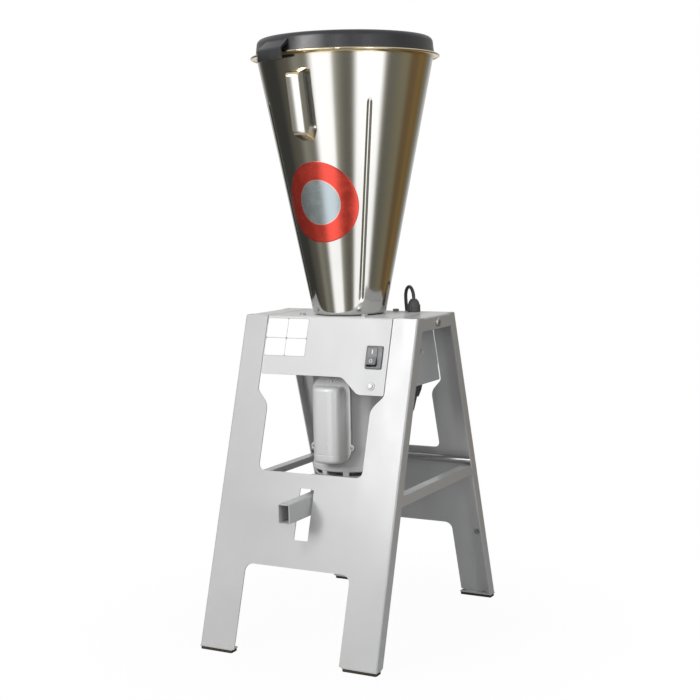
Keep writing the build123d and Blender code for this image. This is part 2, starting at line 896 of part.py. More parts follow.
handle_out = (sin(radians(handle_turn)), -cos(radians(handle_turn)), 0)
handle_across = (-cos(radians(handle_turn)), -sin(radians(handle_turn)), 0)
handle_plane = Plane(origin=(0, 0, 0), x_dir=handle_out, z_dir=handle_across)
handle_line = handle_reach - handle_strap / 2
with BuildPart() as bowl_handle:
    with BuildLine(handle_plane) as strap_path:
        FilletPolyline(
            (cone_radius(handle_top) - handle_strap, handle_top),
            (cone_radius(handle_shoulder) + handle_line, handle_shoulder),
            (cone_radius(handle_elbow) + handle_line, handle_elbow),
            (cone_radius(handle_bottom) - handle_strap, handle_bottom), radius=handle_bend)
    with BuildSketch(Plane(origin=strap_path.line @ 0, x_dir=handle_across, z_dir=strap_path.line % 0)):
        Rectangle(handle_width, handle_strap)
    sweep(path=strap_path.line)
    add(bowl_form.part, mode=Mode.SUBTRACT)
bowl_handle.part.label = "bowl_handle"
export_step(bowl_handle.part, "parts/bowl_handle.step")

# Lid: a deep moulded cap on the rim with a spigot inside and a lifting tab
lid_bottom = rim_topside + lid_seat
lid_top = lid_bottom + lid_height
with BuildPart() as lid:
    with BuildSketch(Plane.XZ):
        with BuildLine():
            Polyline(
                (0, lid_bottom), (lid_radius, lid_bottom), (lid_top_radius, lid_top), (0, lid_top), close=True)
        make_face()
        with Locations((0, lid_bottom)):
            Rectangle(lid_skirt_radius, lid_skirt_depth, align=(Align.MIN, Align.MAX))
    revolve(axis=Axis.Z)
    fillet(edges().group_by(Axis.Z)[-1], radius=lid_edge)
    with BuildSketch(Plane.XY.offset(lid_bottom - lid_skirt_depth)):
        Circle(lid_skirt_radius - lid_wall)
    extrude(amount=lid_skirt_depth + lid_height - lid_wall, mode=Mode.SUBTRACT)
    fillet(edges().group_by(Axis.Z)[0], radius=lid_lip)
    tab_plane = Plane.XZ.rotated((0, 0, tab_start - 90))
    with BuildSketch(tab_plane):
        with BuildLine():
            Polyline(
                (lid_top_radius - lid_wall / 2, tab_top), (tab_reach, tab_knee), (tab_reach, tab_bottom),
                (tab_reach - tab_wall, tab_bottom), (tab_reach - tab_wall, tab_knee - tab_wall / 2),
                (lid_top_radius - lid_wall / 2, tab_top - 2 * tab_wall), close=True)
        make_face()
    revolve(axis=Axis.Z, revolution_arc=tab_end - tab_start)
    ridge_plane = Plane.XZ.rotated((0, 0, tab_end - tab_ridge_angle - 90))
    with BuildSketch(ridge_plane):
        with BuildLine():
            Polyline(
                (lid_top_radius - lid_wall / 2, tab_top), (tab_reach + tab_ridge, tab_knee + tab_ridge),
                (tab_reach + tab_ridge, tab_bottom), (tab_reach - tab_wall, tab_bottom),
                (tab_reach - tab_wall, tab_knee - tab_wall / 2),
                (lid_top_radius - lid_wall / 2, tab_top - 2 * tab_wall), close=True)
        make_face()
    revolve(axis=Axis.Z, revolution_arc=tab_ridge_angle)
lid.part.label = "lid"
export_step(lid.part, "parts/lid.step")

# Head: hub that carries the shaft through the bowl's floor, with its seal
hub_top = bowl_floor + hub_depth
with BuildPart() as bowl_hub:
    with BuildSketch(Plane.XY.offset(bowl_floor)):
        Circle(hub_flange_radius)
    extrude(amount=hub_flange_height)
    chamfer(edges().group_by(Axis.Z)[-1], length=hub_chamfer)
    with BuildSketch(Plane.XY.offset(under_deck - hub_flange_height)):
        Circle(hub_radius)
    extrude(amount=hub_top - under_deck + hub_flange_height)
    chamfer(edges().group_by(Axis.Z)[-1], length=hub_chamfer)
    with Locations((0, 0, hub_top)):
        Hole(hub_bore)
bowl_hub.part.label = "bowl_hub"
export_step(bowl_hub.part, "parts/bowl_hub.step")

with BuildPart() as shaft_seal:
    with BuildSketch(Plane.XY.offset(hub_top - seal_height)):
        Circle(hub_bore)
        Circle(shaft_tip_radius + running, mode=Mode.SUBTRACT)
    extrude(amount=seal_height)
shaft_seal.part.label = "shaft_seal"
export_step(shaft_seal.part, "parts/shaft_seal.step")

# Rotor: shaft, blades and nut inside the bowl, core and fan inside the motor
blade_base = hub_top + blade_gap
nut_base = blade_base + blade_hub_height
with BuildPart() as motor_shaft:
    with BuildSketch(Plane.XY.offset(shaft_bottom)):
        Circle(shaft_radius)
    extrude(amount=upper_bearing_bottom + bearing_width - shaft_bottom)
    with BuildSketch(Plane.XY.offset(shaft_bottom)):
        Circle(shaft_tip_radius)
    extrude(amount=nut_base + blade_nut_height / 2 - shaft_bottom)
motor_shaft.part.label = "motor_shaft"
export_step(motor_shaft.part, "parts/motor_shaft.step")

with BuildPart() as blades:
    for turn, lift in ((0, blade_lift), (90, blade_lift / 2)):
        level = blade_base + (blade_hub_height / 2 if turn else 0)
        with BuildLine(Plane.XZ.rotated((0, 0, turn))) as blade_path:
            FilletPolyline(
                (-blade_length, level + blade_thickness / 2 + lift),
                (-blade_hub_radius, level + blade_thickness / 2), (blade_hub_radius, level + blade_thickness / 2),
                (blade_length, level + blade_thickness / 2 + lift), radius=blade_bend)
        with BuildSketch(Plane(origin=blade_path.line @ 0, x_dir=(-sin(radians(turn)), cos(radians(turn)), 0),
                               z_dir=blade_path.line % 0)):
            Rectangle(blade_width, blade_thickness)
        sweep(path=blade_path.line)
    with BuildSketch(Plane.XY.offset(blade_base)):
        Circle(blade_hub_radius)
    extrude(amount=blade_hub_height)
    with Locations((0, 0, nut_base)):
        Hole(shaft_tip_radius, depth=blade_hub_height)
blades.part.label = "blades"
export_step(blades.part, "parts/blades.step")

with BuildPart() as blade_nut:
    with BuildSketch(Plane.XY.offset(nut_base)):
        RegularPolygon(blade_nut_radius + blade_thickness, 6)
    extrude(amount=blade_nut_height)
    with BuildSketch(Plane.XZ):
        with BuildLine():
            Polyline((0, nut_base), (blade_nut_radius + blade_thickness, nut_base),
                     (blade_nut_radius + blade_thickness, nut_base + blade_nut_height / 2),
                     (blade_nut_radius, nut_base + blade_nut_height), (0, nut_base + blade_nut_height), close=True)
        make_face()
    revolve(axis=Axis.Z, mode=Mode.INTERSECT)
    with BuildSketch(Plane.XY.offset(nut_base)):
        Circle(shaft_tip_radius)
    extrude(amount=blade_nut_height / 2, mode=Mode.SUBTRACT)
blade_nut.part.label = "blade_nut"
export_step(blade_nut.part, "parts/blade_nut.step")

with BuildPart() as rotor_core:
    with BuildSketch(Plane.XY.offset(stator_bottom)):
        Circle(stator_bore - air_gap)
        Circle(shaft_radius, mode=Mode.SUBTRACT)
    extrude(amount=stator_top - stator_bottom)
rotor_core.part.label = "rotor_core"
export_step(rotor_core.part, "parts/rotor_core.step")

with BuildPart() as fan:
    with BuildSketch(Plane.XY.offset(fan_bottom + fan_height - fan_blade)):
        Circle(fan_radius)
    extrude(amount=fan_blade)
    with BuildSketch(Plane.XY.offset(fan_bottom)):
        Circle(fan_hub_radius)
        with PolarLocations((fan_radius + fan_hub_radius) / 2, fan_blades):
            Rectangle(fan_radius - fan_hub_radius + fan_blade, fan_blade)
    extrude(amount=fan_height)
    with Locations((0, 0, fan_bottom + fan_height)):
        Hole(shaft_radius)
fan.part.label = "fan"
export_step(fan.part, "parts/fan.step")

# Head: motor
shield_bottom_wall = motor_bottom + shield_wall
boss_radius = lower_bearing_radius + bearing_boss
with BuildPart() as motor_bottom_shield:
    with BuildSketch(Plane.XZ):
        with BuildLine():
            Polyline(
                (0, motor_bottom), (motor_bottom_radius, motor_bottom),
                (motor_bottom_radius, shield_band_bottom), (shield_band_radius, shield_band_bottom),
                (shield_band_radius, shield_band_top), (motor_bottom_radius, shield_band_top),
                (motor_bottom_radius, shell_bottom), (0, shell_bottom), close=True)
        make_face()
    revolve(axis=Axis.Z)
    fillet(edges().group_by(Axis.Z)[0], radius=motor_bottom_fillet)
    with BuildSketch(Plane.XZ):
        with BuildLine():
            FilletPolyline(
                (boss_radius, shield_bottom_wall), (motor_bottom_radius - shield_wall, shield_bottom_wall),
                (motor_bottom_radius - shield_wall, shell_bottom), (0, shell_bottom),
                (0, lower_bearing_bottom), (lower_bearing_radius, lower_bearing_bottom),
                (lower_bearing_radius, lower_bearing_bottom + bearing_width),
                (boss_radius, lower_bearing_bottom + bearing_width), close=True,
                radius=[0, motor_bottom_fillet - shield_wall, 0, 0, 0, 0, 0, 0])
        make_face()
    revolve(axis=Axis.Z, mode=Mode.SUBTRACT)
    with Locations((0, 0, lower_bearing_bottom)):
        Hole(shaft_radius + running, depth=lower_bearing_bottom - shaft_bottom + running)
    for turn in range(vent_count):
        slot_plane = Plane.XZ.rotated((0, 0, (turn + 0.5) * 360 / vent_count - vent_angle / 2))
        with BuildSketch(slot_plane):
            with Locations((motor_bottom_radius, vent_bottom)):
                Rectangle(2 * motor_bottom_fillet, vent_height, align=(Align.CENTER, Align.MIN))
        revolve(axis=Axis.Z, revolution_arc=vent_angle, mode=Mode.SUBTRACT)
motor_bottom_shield.part.label = "motor_bottom_shield"
export_step(motor_bottom_shield.part, "parts/motor_bottom_shield.step")

with BuildPart() as motor_shell:
    with BuildSketch(Plane.XY.offset(shell_bottom)):
        Circle(motor_radius)
        Circle(motor_radius - motor_shell_wall, mode=Mode.SUBTRACT)
    extrude(amount=shell_top - shell_bottom)
motor_shell.part.label = "motor_shell"
export_step(motor_shell.part, "parts/motor_shell.step")

flange_bottom = under_deck - flange_plate
with BuildPart() as motor_top_shield:
    with BuildSketch(Plane.XZ):
        with BuildLine():
            Polyline(
                (top_shield_radius, shell_top), (top_shield_radius, top_shield_shoulder),
                (top_shield_neck, top_shield_taper), (top_shield_neck, flange_bottom),
                (top_shield_neck - shield_wall, flange_bottom), (top_shield_neck - shield_wall, top_shield_taper),
                (top_shield_radius - shield_wall, top_shield_shoulder),
                (top_shield_radius - shield_wall, shell_top), close=True)
        make_face()
        with BuildLine():
            Polyline(
                (upper_bearing_radius, upper_bearing_bottom), (upper_bearing_radius + bearing_boss,
                                                              upper_bearing_bottom),
                (upper_bearing_radius + bearing_boss, flange_bottom), (shaft_opening, flange_bottom),
                (shaft_opening, upper_bearing_bottom + bearing_width),
                (upper_bearing_radius, upper_bearing_bottom + bearing_width), close=True)
        make_face()
    revolve(axis=Axis.Z)
    with BuildSketch(Plane.XY.offset(flange_bottom)):
        RectangleRounded(flange_side, flange_side, flange_corner)
        Circle(shaft_opening, mode=Mode.SUBTRACT)
        with GridLocations(deck_bolt_spacing, deck_bolt_spacing, 2, 2):
            Circle(deck_bolt_radius, mode=Mode.SUBTRACT)
    extrude(amount=flange_plate)
motor_top_shield.part.label = "motor_top_shield"
export_step(motor_top_shield.part, "parts/motor_top_shield.step")


def ring(bottom, height, outer, inner):
    """Plain ring about the motor's axis."""
    with BuildPart() as band:
        with BuildSketch(Plane.XY.offset(bottom)):
            Circle(outer)
            Circle(inner, mode=Mode.SUBTRACT)
        extrude(amount=height)
    return band.part


with BuildPart() as motor_bearings:
    add(ring(lower_bearing_bottom, bearing_width, lower_bearing_radius, shaft_radius + running))
    add(ring(upper_bearing_bottom, bearing_width, upper_bearing_radius, shaft_radius + running))
motor_bearings.part.label = "motor_bearings"
export_step(motor_bearings.part, "parts/motor_bearings.step")

stator_core = ring(stator_bottom, stator_top - stator_bottom, motor_radius - motor_shell_wall, stator_bore)
stator_core.label = "stator_core"
export_step(stator_core, "parts/stator_core.step")

with BuildPart() as stator_windings:
    add(ring(stator_bottom - winding_height, winding_height, winding_outer, winding_inner))
    add(ring(stator_top, winding_height, winding_outer, winding_inner))
    fillet(edges().group_by(Axis.Z)[0] + edges().group_by(Axis.Z)[-1], radius=winding_round)
stator_windings.part.label = "stator_windings"
export_step(stator_windings.part, "parts/stator_windings.step")

with BuildPart() as deck_bolts:
    with BuildSketch(Plane.XY.offset(deck_height)):
        with GridLocations(deck_bolt_spacing, deck_bolt_spacing, 2, 2):
            RegularPolygon(deck_bolt_head, 6)
    extrude(amount=deck_bolt_head_height)
    chamfer(edges().group_by(Axis.Z)[-1], length=deck_bolt_chamfer)
    with BuildSketch(Plane.XY.offset(deck_height)):
        with GridLocations(deck_bolt_spacing, deck_bolt_spacing, 2, 2):
            Circle(deck_bolt_radius)
    extrude(amount=-(sheet + flange_plate))
deck_bolts.part.label = "deck_bolts"
export_step(deck_bolts.part, "parts/deck_bolts.step")

# Head: capacitor and its cover on the front of the motor
base_front = base_back + base_plate
base_middle = (base_top + base_bottom) / 2
ear_places = [(-base_width / 2, base_ear_height), (base_width / 2, base_ear_height)]
top_screw_height = base_top - base_ear_radius - base_plate
cover_screw_places = ear_places + [(0, top_screw_height)]
with BuildPart() as cover_base:
    with BuildSketch(Plane.XZ.offset(base_back)):
        with Locations((0, base_middle)):
            Rectangle(base_width, base_top - base_bottom)
        fillet(vertices().group_by(Axis.Z)[-1], radius=base_corner)
        fillet(vertices().group_by(Axis.Z)[0], radius=base_foot_corner)
        with Locations(*ear_places):
            Circle(base_ear_radius)
        with Locations(*cover_screw_places):
            Circle(cover_screw_radius, mode=Mode.SUBTRACT)
    extrude(amount=base_plate)
    with BuildSketch(Plane.XZ.offset(base_back)):
        with Locations((0, (cover_top + cover_bottom) / 2)):
            Rectangle(saddle_width, cover_top - cover_bottom)
    extrude(amount=-saddle_depth)
    with BuildSketch(Plane.XY.offset(base_bottom)):
        Circle(motor_radius)
    extrude(amount=base_top - base_bottom, mode=Mode.SUBTRACT)
cover_base.part.label = "cover_base"
export_step(cover_base.part, "parts/cover_base.step")

cover_middle = (cover_top + cover_bottom) / 2
cover_length = cover_top - cover_bottom
with BuildPart() as capacitor_cover:
    with BuildSketch(Plane.XZ.offset(base_front)):
        with Locations((0, cover_middle)):
            RectangleRounded(cover_width, cover_length, cover_corner)
    extrude(amount=cover_front - base_front)
    fillet(edges().group_by(Axis.Y)[0], radius=cover_round)
    offset(amount=-cover_wall, openings=faces().sort_by(Axis.Y)[-1])
capacitor_cover.part.label = "capacitor_cover"
export_step(capacitor_cover.part, "parts/capacitor_cover.step")

with BuildPart() as capacitor:
    with BuildSketch(Plane.XY.offset(cover_middle - capacitor_height / 2)):
        with Locations((0, -base_front - capacitor_radius - seat_gap)):
            Circle(capacitor_radius)
    extrude(amount=capacitor_height)
    fillet(edges().group_by(Axis.Z)[0] + edges().group_by(Axis.Z)[-1], radius=capacitor_round)
capacitor.part.label = "capacitor"
export_step(capacitor.part, "parts/capacitor.step")

with BuildPart() as cover_screws:
    with BuildSketch(Plane.XZ.offset(base_front)):
        with Locations(*cover_screw_places):
            Circle(cover_screw_head)
    extrude(amount=cover_screw_head_height)
    with BuildSketch(Plane.XZ.offset(base_front)):
        with Locations(*cover_screw_places):
            Circle(cover_screw_radius)
    extrude(amount=-base_plate)
cover_screws.part.label = "cover_screws"
export_step(cover_screws.part, "parts/cover_screws.step")

# Head: keeper under the motor, which the lever's catch closes on
keeper_inner = lever_width / 2 + keeper_side_gap
with BuildPart() as keeper:
    with BuildSketch(Plane.XY.offset(motor_bottom - keeper_plate)):
        with Locations((0, -(keeper_front + keeper_back) / 2)):
            Rectangle(2 * (keeper_inner + keeper_ear), keeper_front - keeper_back)
    extrude(amount=keeper_plate)
    with BuildSketch(Plane.XY.offset(keeper_tip)):
        for side in (-1, 1):
            with Locations((side * (keeper_inner + keeper_ear / 2), -(keeper_front + keeper_rear) / 2)):
                Rectangle(keeper_ear, keeper_front - keeper_rear)
    extrude(amount=motor_bottom - keeper_tip)
keeper.part.label = "keeper"
export_step(keeper.part, "parts/keeper.step")

# Head: rocker switch and reset button on the front plate
switch_front = Plane(origin=switch_spot + front_face.z_dir * switch_proud, x_dir=(1, 0, 0),
                     z_dir=front_face.z_dir)
rocker_offset = rocker_x - switch_x
rocker_plane = Plane(origin=switch_front.from_local_coords((rocker_offset, 0, 0)), x_dir=switch_front.y_dir,
                     z_dir=(1, 0, 0))
with BuildPart() as switch_bezel:
    with BuildSketch(switch_face):
        RectangleRounded(switch_width, switch_length, switch_corner)
    extrude(amount=switch_proud)
    fillet(faces().sort_by(Axis((0, 0, 0), front_face.z_dir))[-1].edges(), radius=switch_round)
    with BuildSketch(switch_face):
        Rectangle(*switch_body)
    extrude(amount=-switch_body_depth)
    with BuildSketch(switch_front):
        with Locations((rocker_offset, 0)):
            Rectangle(rocker_width + 2 * seat_gap, rocker_pocket_length)
    extrude(amount=-rocker_pocket_depth, mode=Mode.SUBTRACT)
    with BuildSketch(rocker_plane):
        with Locations((0, -rocker_pivot_depth)):
            Circle(rocker_pin + running)
    extrude(amount=rocker_width / 2 + rocker_pin_length + seat_gap, both=True, mode=Mode.SUBTRACT)
switch_bezel.part.label = "switch_bezel"
export_step(switch_bezel.part, "parts/switch_bezel.step")

pivot_spot = rocker_plane.from_local_coords((0, -rocker_pivot_depth, 0))
rocker_rest = Plane(origin=pivot_spot, x_dir=rocker_plane.x_dir, z_dir=(1, 0, 0)).rotated(
    (-rocker_throw / 2, 0, 0))
rocker_edge = rocker_pivot_depth + rocker_crown
with BuildPart() as rocker:
    with BuildSketch(rocker_rest):
        with BuildLine():
            Polyline(
                (-rocker_length / 2, rocker_edge), (0, rocker_pivot_depth + rocker_valley),
                (rocker_length / 2, rocker_edge), (rocker_length / 2, rocker_edge - rocker_skin),
                (rocker_hub, 0), (-rocker_hub, 0), (-rocker_length / 2, rocker_edge - rocker_skin), close=True)
        make_face()
        Circle(rocker_hub)
    extrude(amount=rocker_width / 2, both=True)
    with BuildSketch(rocker_rest):
        Circle(rocker_pin)
    extrude(amount=rocker_width / 2 + rocker_pin_length, both=True)
rocker.part.label = "rocker"
export_step(rocker.part, "parts/rocker.step")

reset_bore = reset_radius + seat_gap
with BuildPart() as reset_collar:
    with BuildSketch(reset_face):
        Circle(reset_collar_radius)
    extrude(amount=reset_collar_height)
    chamfer(edges().filter_by(GeomType.CIRCLE).sort_by(Axis.Y)[0], length=reset_collar_chamfer)
    with BuildSketch(reset_face):
        Circle(reset_body_radius)
    extrude(amount=-reset_body_depth)
    with BuildSketch(reset_face.offset(reset_collar_height)):
        Circle(reset_bore)
    extrude(amount=-(reset_collar_height + reset_body_depth - reset_floor), mode=Mode.SUBTRACT)
reset_collar.part.label = "reset_collar"
export_step(reset_collar.part, "parts/reset_collar.step")

button_stem = reset_body_depth - reset_floor - reset_travel - seat_gap
with BuildPart() as reset_button:
    with BuildSketch(reset_face.offset(reset_proud)):
        Circle(reset_radius)
    extrude(amount=-(reset_proud + button_stem))
    fillet(edges().sort_by(Axis.Y)[0], radius=reset_round)
reset_button.part.label = "reset_button"
export_step(reset_button.part, "parts/reset_button.step")

# Head: cable gland and its locknut
gland_plane = Plane(origin=(gland_x, gland_y, deck_height), x_dir=(1, 0, 0), z_dir=(0, -1, 0))
with BuildPart() as cable_gland:
    with BuildSketch(gland_plane):
        with BuildLine():
            body = Polyline(
                (0, gland_height), (0, -gland_tail), (gland_tail_radius, -gland_tail), (gland_tail_radius, 0),
                (gland_radius, 0), (gland_radius, gland_body_height))
            dome = TangentArc(body @ 1, (gland_top_radius, gland_height), tangent=(0, 1))
            Line(dome @ 1, body @ 0)
        make_face()
    revolve(axis=Axis((gland_x, gland_y, 0), (0, 0, 1)))
cable_gland.part.label = "cable_gland"
export_step(cable_gland.part, "parts/cable_gland.step")

with BuildPart() as gland_nut:
    with BuildSketch(Plane.XY.offset(under_deck)):
        with Locations((gland_x, gland_y)):
            RegularPolygon(gland_radius, 6)
            Circle(gland_tail_radius, mode=Mode.SUBTRACT)
    extrude(amount=-gland_nut_height)
gland_nut.part.label = "gland_nut"
export_step(gland_nut.part, "parts/gland_nut.step")

# Mains lead: from the gland over the deck's rear edge, under the housing into a tied hank, and on to the plug
hank_run = hank_width / 2 - cord_radius
hank_port = 2 * cord_radius + seat_gap
fold_z = hank_z - (hank_length - hank_width) / 2
lead_from_gland = [
    (112, 68, 671), (112, 68, 680.4), (102, 77.4, 694), (88, 90.6, 694), (78, 100, 680.3),
    (79, 100.5, 655), (81, 102, 628), (83, 109.5, 595), (86, 120, 563), (88, 130.4, 531),
    (88, 131, 512), (88, 123, 498.2), (88, 109.2, 490.3), (88.5, 93.3, 490.3), (92, 79.5, 498.2),
    (99, 71.5, 511.5), (104.8, 71, 526), (106.8, hank_y + hank_run, 539), (106.8, hank_y + hank_run, fold_z),
]
lead_to_plug = [
    (131.2, hank_y - hank_run, fold_z), (131.2, hank_y - hank_run, 530), (130, 32.5, 511), (123.5, 32, 488),
    (111, 29, 463), (98.5, 26, 437), (91, 24, 411.7), (88, 42.7, 393), (86.5, 69.3, 393),
    (89.25, 88, 411.72), (94.76, 88, 437.64),
]


def bends(points):
    """Bend radii of a route, each as large as its two runs allow."""
    radii = []
    for before, corner, after in zip(points, points[1:], points[2:]):
        run_in = Vector(*corner) - Vector(*before)
        run_out = Vector(*after) - Vector(*corner)
        turn = radians(run_in.get_angle(run_out))
        radii.append(0.45 * min(run_in.length, run_out.length) / tan(turn / 2))
    return radii


def tube(points):
    """Round cord along a route of straight runs joined by tangent arcs."""
    radii = bends(points)
    with BuildPart() as cord:
        with BuildLine():
            route = FilletPolyline(*points, radius=radii)
        with BuildSketch(Plane(origin=route @ 0, z_dir=route % 0)):
            Circle(cord_radius)
        sweep(path=route)
    straight = route.length * pi * cord_radius ** 2
    print("Cord of", round(route.length, 1), "mm, volume over section times length",
          round(cord.part.volume / straight, 5), "and radii", [round(radius, 1) for radius in radii])
    return cord.part


power_cord = tube(lead_from_gland)
power_cord.label = "power_cord"
export_step(power_cord, "parts/power_cord.step")

plug_lead = tube(lead_to_plug)
plug_lead.label = "plug_lead"
export_step(plug_lead, "parts/plug_lead.step")

with BuildPart() as cord_hank:
    with BuildSketch(Plane.YZ.offset(hank_left)):
        with Locations((hank_y, hank_z)):
            SlotOverall(hank_length, hank_width, rotation=90)
            SlotOverall(hank_length - 4 * cord_radius, hank_width - 4 * cord_radius, rotation=90,
                        mode=Mode.SUBTRACT)
    extrude(amount=hank_depth)
    fillet(edges(), radius=hank_edge)
    with Locations((hank_left, hank_y, fold_z)):
        Box(hank_port, hank_width, hank_length, align=(Align.MIN, Align.MIN, Align.MAX), mode=Mode.SUBTRACT)
    with Locations((hank_left + hank_depth, hank_y, fold_z)):
        Box(hank_port, hank_width, hank_length, align=(Align.MAX, Align.MAX, Align.MAX), mode=Mode.SUBTRACT)
cord_hank.part.label = "cord_hank"
export_step(cord_hank.part, "parts/cord_hank.step")

strap_centre = (hank_left + hank_depth / 2, hank_y)
with BuildPart() as cord_strap:
    with BuildSketch(Plane.XY.offset(strap_height - strap_width / 2)):
        with Locations(strap_centre):
            RectangleRounded(hank_depth + 2 * strap_wall, hank_width + 2 * strap_wall, hank_edge + strap_wall)
        with Locations(((strap_centre[0] + plate_x) / 2, hank_y)):
            Rectangle(plate_x - strap_centre[0], strap_width)
        with Locations(strap_centre):
            RectangleRounded(hank_depth, hank_width, hank_edge, mode=Mode.SUBTRACT)
    extrude(amount=strap_width)
cord_strap.part.label = "cord_strap"
export_step(cord_strap.part, "parts/cord_strap.step")

plug_axis = (sin(radians(plug_lean)), 0, cos(radians(plug_lean)))
plug_base = Plane(origin=plug_foot, x_dir=(0, 1, 0), z_dir=plug_axis)
with BuildPart() as plug:
    with BuildSketch(plug_base):
        RectangleRounded(plug_width * plug_taper, plug_thickness * plug_taper, plug_corner * plug_taper)
    with BuildSketch(plug_base.offset(plug_length / 2)):
        RectangleRounded(plug_width, plug_thickness, plug_corner)
    loft(ruled=True)
    with BuildSketch(plug_base.offset(plug_length / 2)):
        RectangleRounded(plug_width, plug_thickness, plug_corner)
    extrude(amount=plug_length / 2)
    with BuildSketch(plug_base):
        Circle(plug_relief_radius)
    with BuildSketch(plug_base.offset(-plug_relief)):
        Circle(plug_relief_tip)
    loft()
plug.part.label = "plug"
export_step(plug.part, "parts/plug.step")

with BuildPart() as plug_pins:
    with BuildSketch(plug_base.offset(plug_length)):
        with Locations((-pin_spacing, 0), (0, pin_offset), (pin_spacing, 0)):
            Circle(pin_radius)
    extrude(amount=pin_length)
    chamfer(edges().group_by(Axis.Z)[-1], length=pin_chamfer)
plug_pins.part.label = "plug_pins"
export_step(plug_pins.part, "parts/plug_pins.step")

# Stand: return spring of the lever, hung from a tab inside the front panel
with BuildPart() as spring_tab_plate:
    with BuildSketch(Plane.YZ):
        with BuildLine():
            Polyline(
                (-inner_y(spring_top), spring_top), (spring_tab_y, spring_top),
                (spring_tab_y, spring_top + spring_tab),
                (-inner_y(spring_top + spring_tab), spring_top + spring_tab), close=True)
        make_face()
    extrude(amount=spring_tab_width / 2, both=True)
spring_tab_plate.part.label = "spring_tab"
export_step(spring_tab_plate.part, "parts/spring_tab.step")

spring_length = spring_top - lever_top
with BuildPart() as lever_spring:
    with BuildLine(Plane(origin=(0, spring_y, lever_top + spring_wire))) as coil:
        Helix(spring_pitch, spring_length - 2 * spring_wire, spring_radius)
    with BuildSketch(Plane(origin=coil.line @ 0, z_dir=coil.line % 0)):
        Circle(spring_wire)
    sweep(path=coil.line)
lever_spring.part.label = "lever_spring"
export_step(lever_spring.part, "parts/lever_spring.step")
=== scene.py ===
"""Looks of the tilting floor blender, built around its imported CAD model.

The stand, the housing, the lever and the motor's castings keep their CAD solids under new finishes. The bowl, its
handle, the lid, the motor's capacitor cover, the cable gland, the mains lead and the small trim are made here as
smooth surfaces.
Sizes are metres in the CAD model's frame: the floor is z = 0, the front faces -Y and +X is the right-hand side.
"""

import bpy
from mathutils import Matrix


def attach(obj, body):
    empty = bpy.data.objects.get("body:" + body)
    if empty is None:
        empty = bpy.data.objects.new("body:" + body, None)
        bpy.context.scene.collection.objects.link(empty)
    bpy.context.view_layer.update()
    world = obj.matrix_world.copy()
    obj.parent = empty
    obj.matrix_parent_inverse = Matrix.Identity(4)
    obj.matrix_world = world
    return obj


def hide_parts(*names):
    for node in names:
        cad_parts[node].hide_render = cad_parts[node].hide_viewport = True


bl_info = {
    "name": "Tilting Floor Blender",
    "version": (1, 0, 0),
    "blender": (4, 5, 0),
    "location": "View3D > Sidebar > Blender Part",
    "description": "Dresses the tilting floor blender: bowl, lid, motor, lead, trim, finishes and studio",
    "category": "Object",
}

import math

import bpy
import numpy as np
from bpy.props import FloatProperty, FloatVectorProperty, PointerProperty
from mathutils import Matrix, Quaternion, Vector

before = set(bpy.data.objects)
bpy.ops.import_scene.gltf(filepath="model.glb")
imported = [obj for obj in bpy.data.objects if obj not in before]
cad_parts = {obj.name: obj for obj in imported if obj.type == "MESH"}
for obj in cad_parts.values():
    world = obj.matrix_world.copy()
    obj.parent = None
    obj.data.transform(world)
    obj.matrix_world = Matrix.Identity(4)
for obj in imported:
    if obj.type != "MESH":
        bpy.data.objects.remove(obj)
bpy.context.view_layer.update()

# Heights and radii of the CAD model that the surfaces meet
DECK_TOP = 0.644
TOP_HALF_DEPTH = 0.087
PANEL_LEAN = math.atan2(0.201, 0.636)
BOWL_FOOT = 0.6455
BOWL_FOOT_RADIUS = 0.0737
CONE_SLOPE = (0.1755 - 0.0737) / (1.151 - 0.6455)
FRONT_NORMAL = Vector((0.0, -math.cos(PANEL_LEAN), math.sin(PANEL_LEAN)))
FRONT_UP = Vector((0.0, math.sin(PANEL_LEAN), math.cos(PANEL_LEAN)))
SWITCH_HEIGHT = 0.5695
ROCKER_X = 0.1075
ROCKER_HALF, ROCKER_CROWN, ROCKER_VALLEY = 0.017, 0.0042, 0.0016
TURN = 2.0 * math.pi
COVER_BACK, COVER_FRONT = 0.085, 0.120
FOOT_X, FOOT_Y = 0.158, 0.277
GLAND_PLACE = (0.112, 0.068)
ROOT_BODY = "stand"


def cone_radius(height):
    """Radius of the bowl's outside: the foot radius plus the cone's slope times the height above the foot."""
    return BOWL_FOOT_RADIUS + CONE_SLOPE * (height - BOWL_FOOT)


def front_point(across, height, proud=0.0):
    """Point on the leaning front plane: x across, the plane's y at that height, pushed out along its normal."""
    depth = -(TOP_HALF_DEPTH + math.tan(PANEL_LEAN) * (DECK_TOP - height))
    return Vector((across, depth, height)) + FRONT_NORMAL * proud


# Surfaces


def grid_faces(rows, columns, closed=False, flip=False):
    """Quads between rows that are closed rings, where the last row may join the first."""
    r, c = np.indices((rows if closed else rows - 1, columns)).reshape(2, -1)
    below, beside = (r + 1) % rows, (c + 1) % columns
    corners = [r * columns + c, r * columns + beside, below * columns + beside, below * columns + c]
    if flip:
        corners.reverse()
    return np.stack(corners, axis=1)


def capped_faces(rows, columns, flip=False):
    """Quads of rows of closed rings, and one face over each end."""
    first, last = tuple(range(columns)), tuple(range((rows - 1) * columns, rows * columns))
    faces = grid_faces(rows, columns).tolist() + [first[::-1], last]
    return [face[::-1] for face in faces] if flip else faces


def linked(name, data):
    """Object of the data, linked to the scene."""
    made = bpy.data.objects.new(name, data)
    bpy.context.scene.collection.objects.link(made)
    return made


